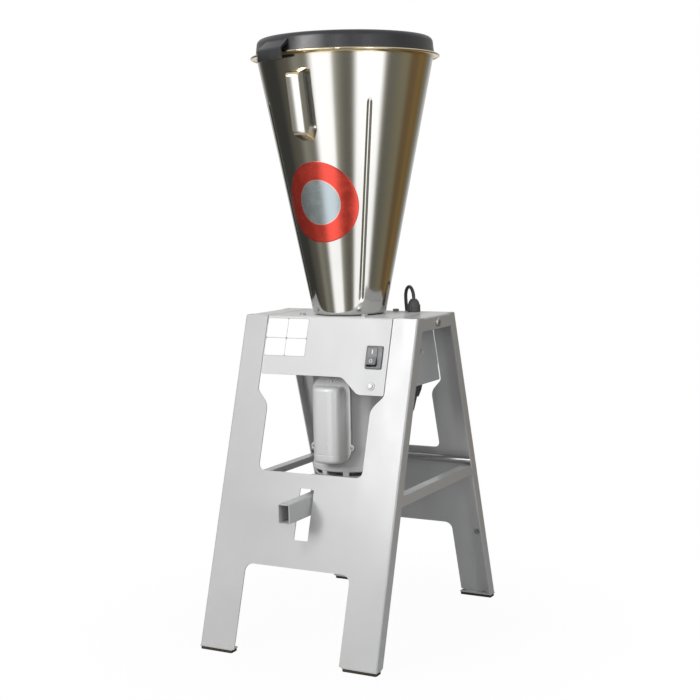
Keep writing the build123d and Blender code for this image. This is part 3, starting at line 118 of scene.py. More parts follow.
def new_piece(name, points, faces, body, finish, stands_for=(), sharp=None):
    """Mesh object riding on its CAD body, shaded smooth except where faces meet at more than the sharp angle."""
    mesh = bpy.data.meshes.new(name)
    mesh.from_pydata(np.asarray(points, float).reshape(-1, 3).tolist(), [], [list(f) for f in faces])
    mesh.validate()
    mesh.update()
    mesh.polygons.foreach_set("use_smooth", np.ones(len(mesh.polygons), bool))
    piece = linked(name, mesh)
    mesh.materials.append(finish)
    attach(piece, body)
    if stands_for:
        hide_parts(*stands_for)
    if sharp:
        mesh.set_sharp_from_angle(angle=sharp)
    return piece


def grid_uv(piece, u, v):
    """UV map on a grid piece from a row of u and a column of v."""
    layer = piece.data.uv_layers.new(name="surface")
    index = np.zeros(len(piece.data.loops), np.int64)
    piece.data.loops.foreach_get("vertex_index", index)
    flat = np.stack(np.broadcast_arrays(u, v), axis=2).reshape(-1, 2)
    layer.data.foreach_set("uv", flat[index].astype(np.float32).ravel())


def unit(vectors):
    """Vectors scaled to a length of one."""
    return vectors / np.linalg.norm(vectors, axis=-1, keepdims=True)


def arc_corner(before, corner, after, radius, steps):
    """Points of the arc that rounds a corner: tangent to both runs, centre one radius from each."""
    before, corner, after = (np.asarray(p, float) for p in (before, corner, after))
    run_in, run_out = unit(before - corner), unit(after - corner)
    half = 0.5 * math.acos(float(np.clip(run_in @ run_out, -1.0, 1.0)))
    centre = corner + unit(run_in + run_out) * radius / math.sin(half)
    start = corner + run_in * radius / math.tan(half) - centre
    end = corner + run_out * radius / math.tan(half) - centre
    sweep = math.acos(float(np.clip(start @ end / radius ** 2, -1.0, 1.0)))
    t = np.linspace(0.0, 1.0, steps)[:, None]
    return centre + (np.sin((1 - t) * sweep) * start + np.sin(t * sweep) * end) / math.sin(sweep)


def rounded(points, radii, steps=8, closed=False):
    """Polyline whose corners are rounded by arcs, radius 0 keeping the corner as it is."""
    points = [np.asarray(p, float) for p in points]
    count, out = len(points), []
    for i, (corner, radius) in enumerate(zip(points, radii)):
        open_end = not closed and i in (0, count - 1)
        if open_end or radius == 0.0:
            out.append(corner[None])
        else:
            out.append(arc_corner(points[i - 1], corner, points[(i + 1) % count], radius, steps))
    return np.concatenate(out)


def divided(line, step):
    """Line with points added so that no run is longer than the step."""
    line = np.asarray(line, float)
    length = np.concatenate([[0.0], np.cumsum(np.linalg.norm(np.diff(line, axis=0), axis=1))])
    wanted = np.union1d(length, np.arange(0.0, length[-1], step))
    return np.stack([np.interp(wanted, length, line[:, k]) for k in range(line.shape[1])], axis=1)


def lathe(profile, azimuths):
    """Grid of a profile of (radius, height) turned about the Z axis: x = r cos a, y = r sin a."""
    radius, height = profile[:, 0][:, None], profile[:, 1][:, None]
    a = azimuths[None, :]
    return np.stack([radius * np.cos(a), radius * np.sin(a), height + 0.0 * a], axis=2)


def strap_along(path, across, width, thickness, edge, corner_steps=3):
    """Flat bar along a path: at each point a rounded rectangle, its wide side along one fixed unit vector."""
    out = np.cross(unit(np.gradient(path, axis=0)), across)
    half_w, half_t = width / 2, thickness / 2
    box = [(half_w, half_t), (-half_w, half_t), (-half_w, -half_t), (half_w, -half_t)]
    ring = rounded(box, [edge] * 4, corner_steps, closed=True)
    return path[:, None, :] + ring[None, :, 0:1] * across + ring[None, :, 1:2] * out[:, None, :]


def rounded_box(half_x, half_y, corner):
    """Outline of a rectangle with rounded corners."""
    box = [(-half_x, -half_y), (half_x, -half_y), (half_x, half_y), (-half_x, half_y)]
    return rounded(box, [corner] * 4, 5, closed=True)


def tile(ring, low, high, bevel):
    """Rows of a thin tile: its outline at the back, at the front, and a little inside at the very front."""
    ahead = unit(np.roll(ring, -1, axis=0) - np.roll(ring, 1, axis=0))
    inward = np.stack([-ahead[:, 1], ahead[:, 0]], axis=1)
    rows = [np.column_stack([outline, np.full(len(ring), depth)])
            for outline, depth in ((ring, low), (ring, high - bevel / 2), (ring + bevel * inward, high))]
    return np.stack(rows)


def prism(name, points, body, finish, stands_for=(), sharp=0.3, inside_out=False):
    """Closed piece from rows of rings, its two ends capped, with every face turned round where asked."""
    piece = new_piece(name, points, capped_faces(*points.shape[:2]), body, finish, stands_for, sharp)
    if inside_out:
        piece.data.flip_normals()


# Finishes


def feed(tree, made, values):
    """Gives a node's inputs, by name or number, their values, or a link where the value is a socket."""
    for key, value in values.items():
        socket = made.inputs[key]
        if isinstance(value, bpy.types.NodeSocket):
            tree.links.new(value, socket)
        else:
            socket.default_value = value


def node(tree, kind, x, y, inputs=(), **values):
    """Shader node of a kind at a place, given its first inputs in order and its settings and inputs by name."""
    made = tree.nodes.new(kind)
    made.location = (x, y)
    plain = {key: value for key, value in values.items() if hasattr(made, key)}
    for key, value in plain.items():
        setattr(made, key, value)
    feed(tree, made, dict(enumerate(inputs)))
    feed(tree, made, {key.replace("_", " "): value for key, value in values.items() if key not in plain})
    return made


def new_finish(name, **inputs):
    """Material with a Principled shader, and the tree, shader and object coordinates to build on."""
    finish = bpy.data.materials.new(name)
    finish.use_nodes = True
    tree = finish.node_tree
    tree.nodes.clear()
    shader = node(tree, "ShaderNodeBsdfPrincipled", 300, 0, **inputs)
    node(tree, "ShaderNodeOutputMaterial", 600, 0, Surface=shader.outputs["BSDF"])
    return finish, tree, shader, node(tree, "ShaderNodeTexCoord", -1100, 0).outputs["Object"]


def ramp(tree, fac, stops, x, y):
    """Colour that follows a list of stops, each a position and a colour, as the factor rises."""
    made = node(tree, "ShaderNodeValToRGB", x, y, Fac=fac)
    elements = made.color_ramp.elements
    for end, (position, tone) in zip(elements, (stops[0], stops[-1])):
        end.position, end.color = position, (*tone, 1.0)
    for position, tone in stops[1:-1]:
        elements.new(position).color = (*tone, 1.0)
    return made.outputs["Color"]


def ranged(tree, value, given, wanted, x, y, kind="LINEAR"):
    """Number taken from a given range to a wanted one and held at its ends."""
    return node(tree, "ShaderNodeMapRange", x, y, interpolation_type=kind, Value=value, From_Min=given[0],
                From_Max=given[1], To_Min=wanted[0], To_Max=wanted[1]).outputs["Result"]


def spread(tree, fac, low, high, x, y):
    """Number that goes from low to high as the factor goes over noise's middle range."""
    return ranged(tree, fac, (0.3, 0.7), (low, high), x, y)


def scaled(colour, factor):
    """Colour times a factor."""
    return tuple(min(1.0, c * factor) for c in colour)


def tones(tree, fac, colour, dark, light, x, y, low=0.35, high=0.65):
    """Colour that goes from a darker tone to a lighter one, each the colour times its factor."""
    return ramp(tree, fac, [(low, scaled(colour, dark)), (high, scaled(colour, light))], x, y)


def noise(tree, place, scale, detail, x, y, rough=0.5):
    """Noise over a place input, its factor returned."""
    return node(tree, "ShaderNodeTexNoise", x, y, Vector=place, Scale=scale, Detail=detail,
                Roughness=rough).outputs["Fac"]


def stretched(tree, place, scale, x, y):
    """Place input scaled differently along its three axes."""
    return node(tree, "ShaderNodeMapping", x, y, Vector=place, Scale=scale).outputs["Vector"]


def bump(tree, height, strength, distance, shader):
    """Bump from a height onto the shader's normal."""
    made = node(tree, "ShaderNodeBump", 60, -320, Strength=strength, Distance=distance, Height=height)
    tree.links.new(made.outputs["Normal"], shader.inputs["Normal"])


def multiplied(tree, share, under, over, x, y):
    """First colour multiplied by the second, by a share."""
    return node(tree, "ShaderNodeMix", x, y, data_type="RGBA", blend_type="MULTIPLY", Factor=share, A=under,
                B=over).outputs["Result"]


def enamel(name, colour, roughness=0.42, grain=1100.0, depth=0.00004, mottle=0.03, coat=0.12):
    """Baked enamel on sheet or castings: fine orange peel, faint clouds of tone, uneven gloss and a clear coat."""
    finish, tree, shader, place = new_finish(name, Coat_Weight=coat, Coat_Roughness=0.2)
    cloud = noise(tree, place, 7.0, 4.0, -800, 200)
    wipe = noise(tree, stretched(tree, place, (9.0, 9.0, 3.0), -900, -120), 3.0, 5.0, -700, -120)
    feed(tree, shader, {
        "Base Color": tones(tree, cloud, colour, 1 - mottle, 1 + mottle, -300, 200),
        "Roughness": spread(tree, wipe, roughness - 0.06, roughness + 0.06, -300, -120)})
    bump(tree, noise(tree, place, grain, 2.0, -800, -400), 0.2, depth, shader)
    return finish


def brushed_steel(name, colour, roughness, lines_scale, depth=0.00001, tint=0.04, warm_painted_reflection=None):
    """Stainless sheet: fine lines round the piece, faint clouds and a satin gloss that changes along them.

    A straw-coloured painted reflection may cover heights, given as pairs of a height and its share there.
    """
    finish, tree, shader, place = new_finish(name, Metallic=1.0)
    lines = noise(tree, stretched(tree, place, lines_scale, -1000, -100), 1.0, 6.0, -800, -100, 0.6)
    cloud = noise(tree, place, 5.0, 3.0, -800, 250)
    steel = tones(tree, cloud, colour, 1 - tint, 1 + tint, -300, 250)
    if warm_painted_reflection:
        split = node(tree, "ShaderNodeSeparateXYZ", -900, 500, Vector=place)
        low, high = warm_painted_reflection[0][0], warm_painted_reflection[-1][0]
        along = ranged(tree, split.outputs["Z"], (low, high), (0.0, 1.0), -700, 500)
        share = ramp(tree, along, [((height - low) / (high - low), (amount,) * 3) for height, amount in warm_painted_reflection],
                     -500, 500)
        # Straw colour multiplied in over the given heights: a painted warm reflection
        steel = multiplied(tree, share, steel, (1.0, 0.80, 0.45, 1.0), 0, 300)
    feed(tree, shader, {
        "Base Color": steel,
        "Roughness": spread(tree, lines, roughness - 0.03, roughness + 0.04, -300, -100)})
    bump(tree, lines, 0.25, depth, shader)
    return finish


def moulded(name, colour, roughness, grain=700.0, depth=0.00008, worn=0.35):
    """Moulded plastic or rubber: pebbled skin, dusty patches and uneven gloss."""
    finish, tree, shader, place = new_finish(name)
    dust = noise(tree, place, 24.0, 6.0, -800, 200, 0.62)
    feed(tree, shader, {
        "Base Color": tones(tree, dust, colour, 1 - worn / 2, 1 + worn, -300, 200, 0.3, 0.75),
        "Roughness": spread(tree, dust, roughness - 0.07, roughness + 0.08, -300, -120)})
    bump(tree, noise(tree, place, grain, 3.0, -800, -400), 0.4, depth, shader)
    return finish


def plated(name, colour, roughness):
    """Plated or bright metal of bolts, shafts and springs, with fine marks."""
    finish, tree, shader, place = new_finish(name, Metallic=1.0)
    marks = noise(tree, place, 350.0, 5.0, -800, -100, 0.65)
    feed(tree, shader, {
        "Base Color": tones(tree, marks, colour, 0.86, 1.05, -300, 200),
        "Roughness": spread(tree, marks, roughness - 0.08, roughness + 0.1, -300, -100)})
    bump(tree, marks, 0.2, 0.00002, shader)
    return finish


def laminated(name, colour):
    """Stack of thin steel sheets: fine dark lines along Z."""
    finish, tree, shader, place = new_finish(name, Metallic=0.85, Roughness=0.45)
    layers = node(tree, "ShaderNodeTexWave", -800, 0, wave_type="BANDS", bands_direction="Z", Vector=place,
                  Scale=300.0, Distortion=0.3).outputs["Fac"]
    feed(tree, shader, {"Base Color": tones(tree, layers, colour, 0.55, 1.0, -300, 100)})
    bump(tree, layers, 0.3, 0.0001, shader)
    return finish


def wound(name, colour):
    """Varnished copper wire laid side by side."""
    finish, tree, shader, place = new_finish(name, Metallic=0.7, Roughness=0.35)
    wires = noise(tree, stretched(tree, place, (900.0, 900.0, 40.0), -1000, 0), 1.0, 3.0, -800, 0)
    feed(tree, shader, {"Base Color": tones(tree, wires, colour, 0.5, 1.0, -300, 100)})
    bump(tree, wires, 0.6, 0.0004, shader)
    return finish


def badge_finish(name, ring, rim, centre):
    """Round foil label: a coloured ring with a pale inner edge, silver in the middle, read from its own UV."""
    finish, tree, shader, place = new_finish(name, Metallic=0.8)
    uv = node(tree, "ShaderNodeUVMap", -1100, 200, uv_map="surface").outputs["UV"]
    outward = node(tree, "ShaderNodeSeparateXYZ", -900, 200, Vector=uv).outputs["Y"]
    print_tone = ramp(tree, outward, [(0.0, centre), (0.535, centre), (0.55, rim), (0.565, ring), (0.965, ring),
                                      (0.985, scaled(ring, 0.7)), (1.0, ring)], -300, 200)
    foil = noise(tree, place, 60.0, 5.0, -800, -200)
    grey = ramp(tree, foil, [(0.35, (0.7, 0.7, 0.75)), (0.65, (1.0, 1.0, 1.0))], -300, -60)
    feed(tree, shader, {"Base Color": multiplied(tree, 0.2, print_tone, grey, 0, 200),
                        "Roughness": spread(tree, foil, 0.2, 0.3, -300, -300)})
    bump(tree, foil, 0.1, 0.00005, shader)
    return finish


# Settings


class StudioSettings(bpy.types.PropertyGroup):
    """Camera and lights of the studio."""

    key_power: FloatProperty(
        name="Key light", description="Power of the tall light at front left", default=32.0, min=0.0, unit="POWER")
    top_power: FloatProperty(
        name="Top light", description="Power of the near light above the front", default=6.0, min=0.0, unit="POWER")
    front_power: FloatProperty(
        name="Front light", description="Power of the narrow light by the camera",
        default=9.0, min=0.0, unit="POWER")
    side_power: FloatProperty(
        name="Side light", description="Power of the light at the right", default=10.0, min=0.0, unit="POWER")
    fill_level: FloatProperty(
        name="Fill", description="Brightness of the even light from above", default=0.35, min=0.0, max=2.0)
    floor_radius: FloatProperty(
        name="Floor radius", description="Radius of the pale floor", default=0.9, min=0.4, unit="LENGTH")


class BowlSettings(bpy.types.PropertyGroup):
    """Sizes of the bowl."""

    rim_height: FloatProperty(
        name="Rim height", description="Height of the cone's top edge", default=1.151, unit="LENGTH")
    wall: FloatProperty(
        name="Wall", description="Thickness of the bowl's sheet", default=0.0015, unit="LENGTH")
    rib_depth: FloatProperty(
        name="Rib depth", description="How far the four ribs are pressed in", default=0.0019, unit="LENGTH")
    steel: FloatVectorProperty(
        name="Steel", description="Colour of the stainless sheet", size=3,
        default=(0.63, 0.625, 0.608), min=0.0, max=1.0, subtype="COLOR")


class LidSettings(bpy.types.PropertyGroup):
    """Sizes and colour of the lid."""

    radius: FloatProperty(
        name="Radius", description="Outer radius of the lid at its foot", default=0.1785, unit="LENGTH")
    height: FloatProperty(
        name="Height", description="Height of the lid over the bowl's rim", default=0.0355, unit="LENGTH")
    colour: FloatVectorProperty(
        name="Colour", description="Colour of the lid's plastic", size=3,
        default=(0.028, 0.0285, 0.031), min=0.0, max=1.0, subtype="COLOR")


class PaintSettings(bpy.types.PropertyGroup):
    """Colours of the painted pieces: one grey enamel in three tones, the stand's darker as painted shade and the
    motor's lighter as painted light.
    """

    # Stand: the housing's enamel made darker, a painted shade
    stand: FloatVectorProperty(
        name="Stand", description="Light enamel of the stand and lever", size=3,
        default=(0.53, 0.532, 0.53), min=0.0, max=1.0, subtype="COLOR")
    housing: FloatVectorProperty(
        name="Housing", description="Light enamel of the head's housing", size=3,
        default=(0.655, 0.658, 0.655), min=0.0, max=1.0, subtype="COLOR")
    # Motor: the housing's enamel made lighter, painted light that makes up for the shade under the housing
    motor: FloatVectorProperty(
        name="Motor", description="Grey enamel of the motor", size=3,
        default=(0.73, 0.732, 0.728), min=0.0, max=1.0, subtype="COLOR")


class LeadSettings(bpy.types.PropertyGroup):
    """Sizes of the mains lead."""

    diameter: FloatProperty(
        name="Diameter", description="Diameter of the mains lead", default=0.007, unit="LENGTH")
    turns: FloatProperty(name="Turns", description="Turns of the put-away hank", default=3.5)


# Stage


def card(name, centre, facing, width, height, power, colour, lean=0.0):
    """Rectangular area light at a point, turned to face another, its top leaning to one side."""
    data = bpy.data.lights.new(name, "AREA")
    data.shape, data.size, data.size_y = "RECTANGLE", width, height
    data.energy, data.color = power, colour
    light = linked(name, data)
    light.location = centre
    turned = (Vector(facing) - Vector(centre)).to_track_quat("-Z", "Y")
    light.rotation_euler = (turned @ Quaternion((0.0, 0.0, 1.0), math.radians(lean))).to_euler()


CAMERA_PLACE, CAMERA_TURNS = (1.3156, -2.4586, 0.8766), (28.177, 6.301, -1.106)
CARD_BRIGHTNESS = 1.75
CARDS_RIGHT, CARDS_TOWARD = (0.8815, 0.4722, 0.0), (0.4722, -0.8815, 0.0)
LOW_FILL_SHARE = 0.15


def studio_world(fill):
    """World: white for the camera, even light from above on the object, and upright cards in reflections.

    The cards follow the azimuth of the reflected ray, measured from the camera's side of the object. They are
    dimmer low down and give way to an even grey above.
    """
    world = bpy.data.worlds.new("studio")
    bpy.context.scene.world = world
    world.use_nodes = True
    tree = world.node_tree
    tree.nodes.clear()
    direction = node(tree, "ShaderNodeTexCoord", -1500, 0).outputs["Generated"]
    right, toward = (node(tree, "ShaderNodeVectorMath", -1300, y, (direction, axis),
                          operation="DOT_PRODUCT").outputs["Value"]
                     for y, axis in ((100, CARDS_RIGHT), (-100, CARDS_TOWARD)))
    height = node(tree, "ShaderNodeSeparateXYZ", -1300, -300, Vector=direction).outputs["Z"]
    angle = node(tree, "ShaderNodeMath", -1100, 0, (right, toward), operation="ARCTAN2").outputs["Value"]
    share = node(tree, "ShaderNodeMath", -900, 0, (angle, 1.0 / TURN, 0.5), operation="MULTIPLY_ADD")
    pale, edge, black = (1.0, 1.0, 1.0), (0.5, 0.5, 0.49), (0.029, 0.029, 0.026)
    night, dusk, ash = (0.06, 0.055, 0.044), (0.14, 0.133, 0.109), (0.19, 0.182, 0.152)
    slate, olive = (0.106, 0.101, 0.082), (0.14, 0.126, 0.082)
    brown, gold = (0.105, 0.069, 0.034), (0.14, 0.091, 0.034)
    stops = [(-180, edge), (-160, scaled(edge, 0.6)), (-147, night), (-136, black), (-108, black), (-98, night),
             (-82, scaled(night, 1.4)), (-71, ash), (-58, dusk), (-53, ash), (-44, pale), (-20, pale),
             (-16.5, scaled(ash, 1.9)), (-11, ash), (-6, dusk), (0, slate), (6, slate), (10, ash), (17, pale),
             (51, pale), (57, scaled(ash, 1.25)), (62, slate), (70, slate), (84, olive), (92, olive),
             (101, brown), (110, brown), (118, gold), (130, scaled(gold, 0.88)), (142, dusk),
             (155, scaled(edge, 0.6)), (180, edge)]
    cards = ramp(tree, share.outputs["Value"], [(turn / 360.0 + 0.5, tone) for turn, tone in stops], -700, 0)
    above = ranged(tree, height, (0.02, 0.3), (0.0, 1.0), -900, -300, "SMOOTHSTEP")
    sky = node(tree, "ShaderNodeMix", -450, 0, data_type="RGBA", Factor=above, A=cards, B=(0.42, 0.42, 0.42, 1.0))
    dim = ranged(tree, height, (-0.45, -0.2), (0.8, 1.0), -700, -500)
    bright = node(tree, "ShaderNodeMath", -500, -500, (dim, CARD_BRIGHTNESS), operation="MULTIPLY")
    level = ranged(tree, height, (-0.35, 0.35), (LOW_FILL_SHARE * fill, fill), -700, -700)
    path = node(tree, "ShaderNodeLightPath", -700, 400).outputs
    white = (1.0, 1.0, 1.0, 1.0)
    seen, even, mirrored = (
        node(tree, "ShaderNodeBackground", -300, y, Color=colour, Strength=strength).outputs["Background"]
        for y, colour, strength in ((200, white, 1.0), (60, white, level),
                                    (-80, sky.outputs["Result"], bright.outputs["Value"])))
    first = node(tree, "ShaderNodeMixShader", 0, 0, (path["Is Glossy Ray"], even, mirrored))
    clear = node(tree, "ShaderNodeMath", -300, 400, (path["Is Camera Ray"], path["Is Transmission Ray"]),
                 operation="MAXIMUM")
    last = node(tree, "ShaderNodeMixShader", 200, 100, (clear.outputs["Value"], first.outputs["Shader"], seen))
    node(tree, "ShaderNodeOutputWorld", 400, 100, Surface=last.outputs["Shader"])


def floor_finish():
    """Pale floor that keeps the object's shadow near it and turns plain white towards its edge."""
    finish, tree, shader, place = new_finish("pale_floor", Base_Color=(0.55, 0.55, 0.55, 1.0), Roughness=0.9)
    away = node(tree, "ShaderNodeVectorMath", -900, -300, (place,), operation="LENGTH").outputs["Value"]
    fade = ranged(tree, away, (0.25, 0.7), (0.97, 1.0), -700, -300, "SMOOTHSTEP")
    path = node(tree, "ShaderNodeLightPath", -700, -500).outputs
    only = node(tree, "ShaderNodeMath", -450, -400, (fade, path["Is Camera Ray"]), operation="MULTIPLY")
    glow = node(tree, "ShaderNodeEmission", 100, -500, Strength=1.0)
    mix = node(tree, "ShaderNodeMixShader", 700, -200,
               (only.outputs["Value"], shader.outputs["BSDF"], glow.outputs["Emission"]))
    output = tree.nodes["Material Output"]
    output.location = (900, -200)
    feed(tree, output, {"Surface": mix.outputs["Shader"]})
    return finish


class TILTBLENDER_OT_stage(bpy.types.Operator):
    """Camera at the photograph's viewing angle, pale floor, soft lights and world"""

    bl_idname = "tiltblender.stage"
    bl_label = "Studio"

    def execute(self, context):
        settings = context.scene.tilt_studio
        data = bpy.data.cameras.new("camera")
        data.lens, data.sensor_width = 70.568, 36.0
        data.clip_start, data.clip_end = 0.05, 100.0
        camera = linked("camera", data)
        yaw, pitch, roll = (math.radians(a) for a in CAMERA_TURNS)
        camera.matrix_world = (
            Matrix.Translation(CAMERA_PLACE) @ Matrix.Rotation(yaw, 4, "Z")
            @ Matrix.Rotation(math.pi / 2 - pitch, 4, "X") @ Matrix.Rotation(roll, 4, "Z"))
        context.scene.camera = camera
        context.scene.view_settings.view_transform = "Standard"

        rings = np.array([0.0, 0.3, 0.6, 0.8, 1.0]) * settings.floor_radius
        around = np.arange(96) * TURN / 96
        points = lathe(np.stack([rings[1:], np.zeros(4)], axis=1), around).reshape(-1, 3)
        faces = [tuple(range(96))] + grid_faces(4, 96, flip=True).tolist()
        mesh = bpy.data.meshes.new("floor")
        mesh.from_pydata(points.tolist(), [], faces)
        mesh.materials.append(floor_finish())
        floor = linked("floor", mesh)

        white, cool = (1.0, 1.0, 1.0), (0.94, 0.975, 1.0)
        card("key_light", (-1.06, -2.604, 1.667), (-0.07, -0.024, 0.397), 0.5, 1.15, settings.key_power, white, 22.3)
        card("top_light", (-0.35, -1.35, 1.65), (0.0, -0.1, 0.5), 0.5, 0.5, settings.top_power, white)
        card("front_light", (1.05, -2.95, 1.5), (0.0, 0.0, 0.45), 0.2, 1.4, settings.front_power, white)
        card("side_light", (2.1, -1.4, 1.1), (0.0, 0.0, 0.45), 0.3, 1.4, settings.side_power, cool)
        studio_world(settings.fill_level)
        return {"FINISHED"}


# Mains lead

LEAD_START = (*GLAND_PLACE, 0.671)
LEAD_TO_HANK = [
    LEAD_START, (0.112, 0.068, 0.6804), (0.102, 0.0774, 0.694), (0.088, 0.0906, 0.694), (0.078, 0.100, 0.6803),
    (0.079, 0.1005, 0.655), (0.081, 0.102, 0.628), (0.083, 0.1095, 0.595), (0.086, 0.120, 0.563),
    (0.088, 0.1304, 0.531), (0.088, 0.131, 0.512), (0.088, 0.123, 0.4982), (0.088, 0.1092, 0.4903),
    (0.0885, 0.0933, 0.4903), (0.092, 0.0795, 0.4982), (0.099, 0.0715, 0.5115), (0.1048, 0.071, 0.526),
    (0.1068, 0.076, 0.542),
]
LEAD_TO_PLUG = [
    (0.1312, 0.032, 0.530), (0.130, 0.0325, 0.511), (0.1235, 0.032, 0.488), (0.111, 0.029, 0.463),
    (0.0985, 0.026, 0.437), (0.091, 0.024, 0.4117), (0.088, 0.0427, 0.393), (0.0865, 0.0693, 0.393),
    (0.08925, 0.088, 0.41172), (0.09476, 0.088, 0.43764),
]
HANK_POINTS = 14


def hank_turns(turns, fold=0.0225, half_run=0.0265, middle=(0.054, 0.574), left=0.1068, pitch=0.007):
    """Turns of the hank: two runs joined by half circles of the fold's radius, each turn one pitch to the right.

    Six points lie on each fold, 30 degrees apart, and one at the middle of each run.
    """
    fold_angles = np.radians(np.arange(15.0, 180.0, 30.0))
    top = np.stack([fold * np.cos(fold_angles), half_run + fold * np.sin(fold_angles)], axis=1)
    side = fold * math.cos(math.radians(15.0))
    turn = np.concatenate([[(side, 0.0)], top, [(-side, 0.0)], -top])
    count = int(round(turns * HANK_POINTS)) + 1
    flat = np.resize(turn, (count, 2))
    step = np.arange(count) / HANK_POINTS
    return np.stack([left + pitch * step, middle[0] + flat[:, 0], middle[1] + flat[:, 1]], axis=1)


class TILTBLENDER_OT_lead(bpy.types.Operator):
    """Mains lead from the gland, over the deck's rear edge, through its tied hank to the hanging plug"""

    bl_idname = "tiltblender.lead"
    bl_label = "Mains lead"

    def execute(self, context):
        settings = context.scene.tilt_lead
        route = np.concatenate([LEAD_TO_HANK, hank_turns(settings.turns), LEAD_TO_PLUG])
        data = bpy.data.curves.new("mains_lead", "CURVE")
        data.dimensions = "3D"
        data.resolution_u, data.bevel_resolution = 6, 4
        data.bevel_depth = settings.diameter / 2
        data.use_fill_caps = True
        spline = data.splines.new("NURBS")
        spline.points.add(len(route) - 1)
        weighted = np.concatenate([route, np.ones((len(route), 1))], axis=1)
        spline.points.foreach_set("co", weighted.astype(np.float32).ravel())
        spline.order_u = 3
        spline.use_endpoint_u = True
        data.materials.append(moulded("lead_rubber", (0.05, 0.05, 0.053), 0.5, grain=900.0, depth=0.00005, worn=0.3))
        lead = linked("mains_lead", data)
        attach(lead, "head")
        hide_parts("power_cord", "plug_lead", "cord_hank")
        return {"FINISHED"}


# Bowl

RIB_AZIMUTHS = np.radians([45.0, 135.0, 225.0, 315.0])
RIB_FOOT, RIB_HEAD, RIB_HALF_WIDTH = 0.681, 1.059, 0.0068


def rib_press(azimuth, height, depth):
    """Depth of the pressed ribs: half a cosine wave across, of the distance to the rib's centre line."""
    radius = cone_radius(height)
    apart = np.abs((azimuth[..., None] - RIB_AZIMUTHS + math.pi) % TURN - math.pi).min(axis=-1) * radius
    beyond = np.maximum(0.0, np.maximum(height - RIB_HEAD, RIB_FOOT - height))
    away = np.clip(np.hypot(apart, beyond) / RIB_HALF_WIDTH, 0.0, 1.0)
    return depth * 0.5 * (1.0 + np.cos(math.pi * away))


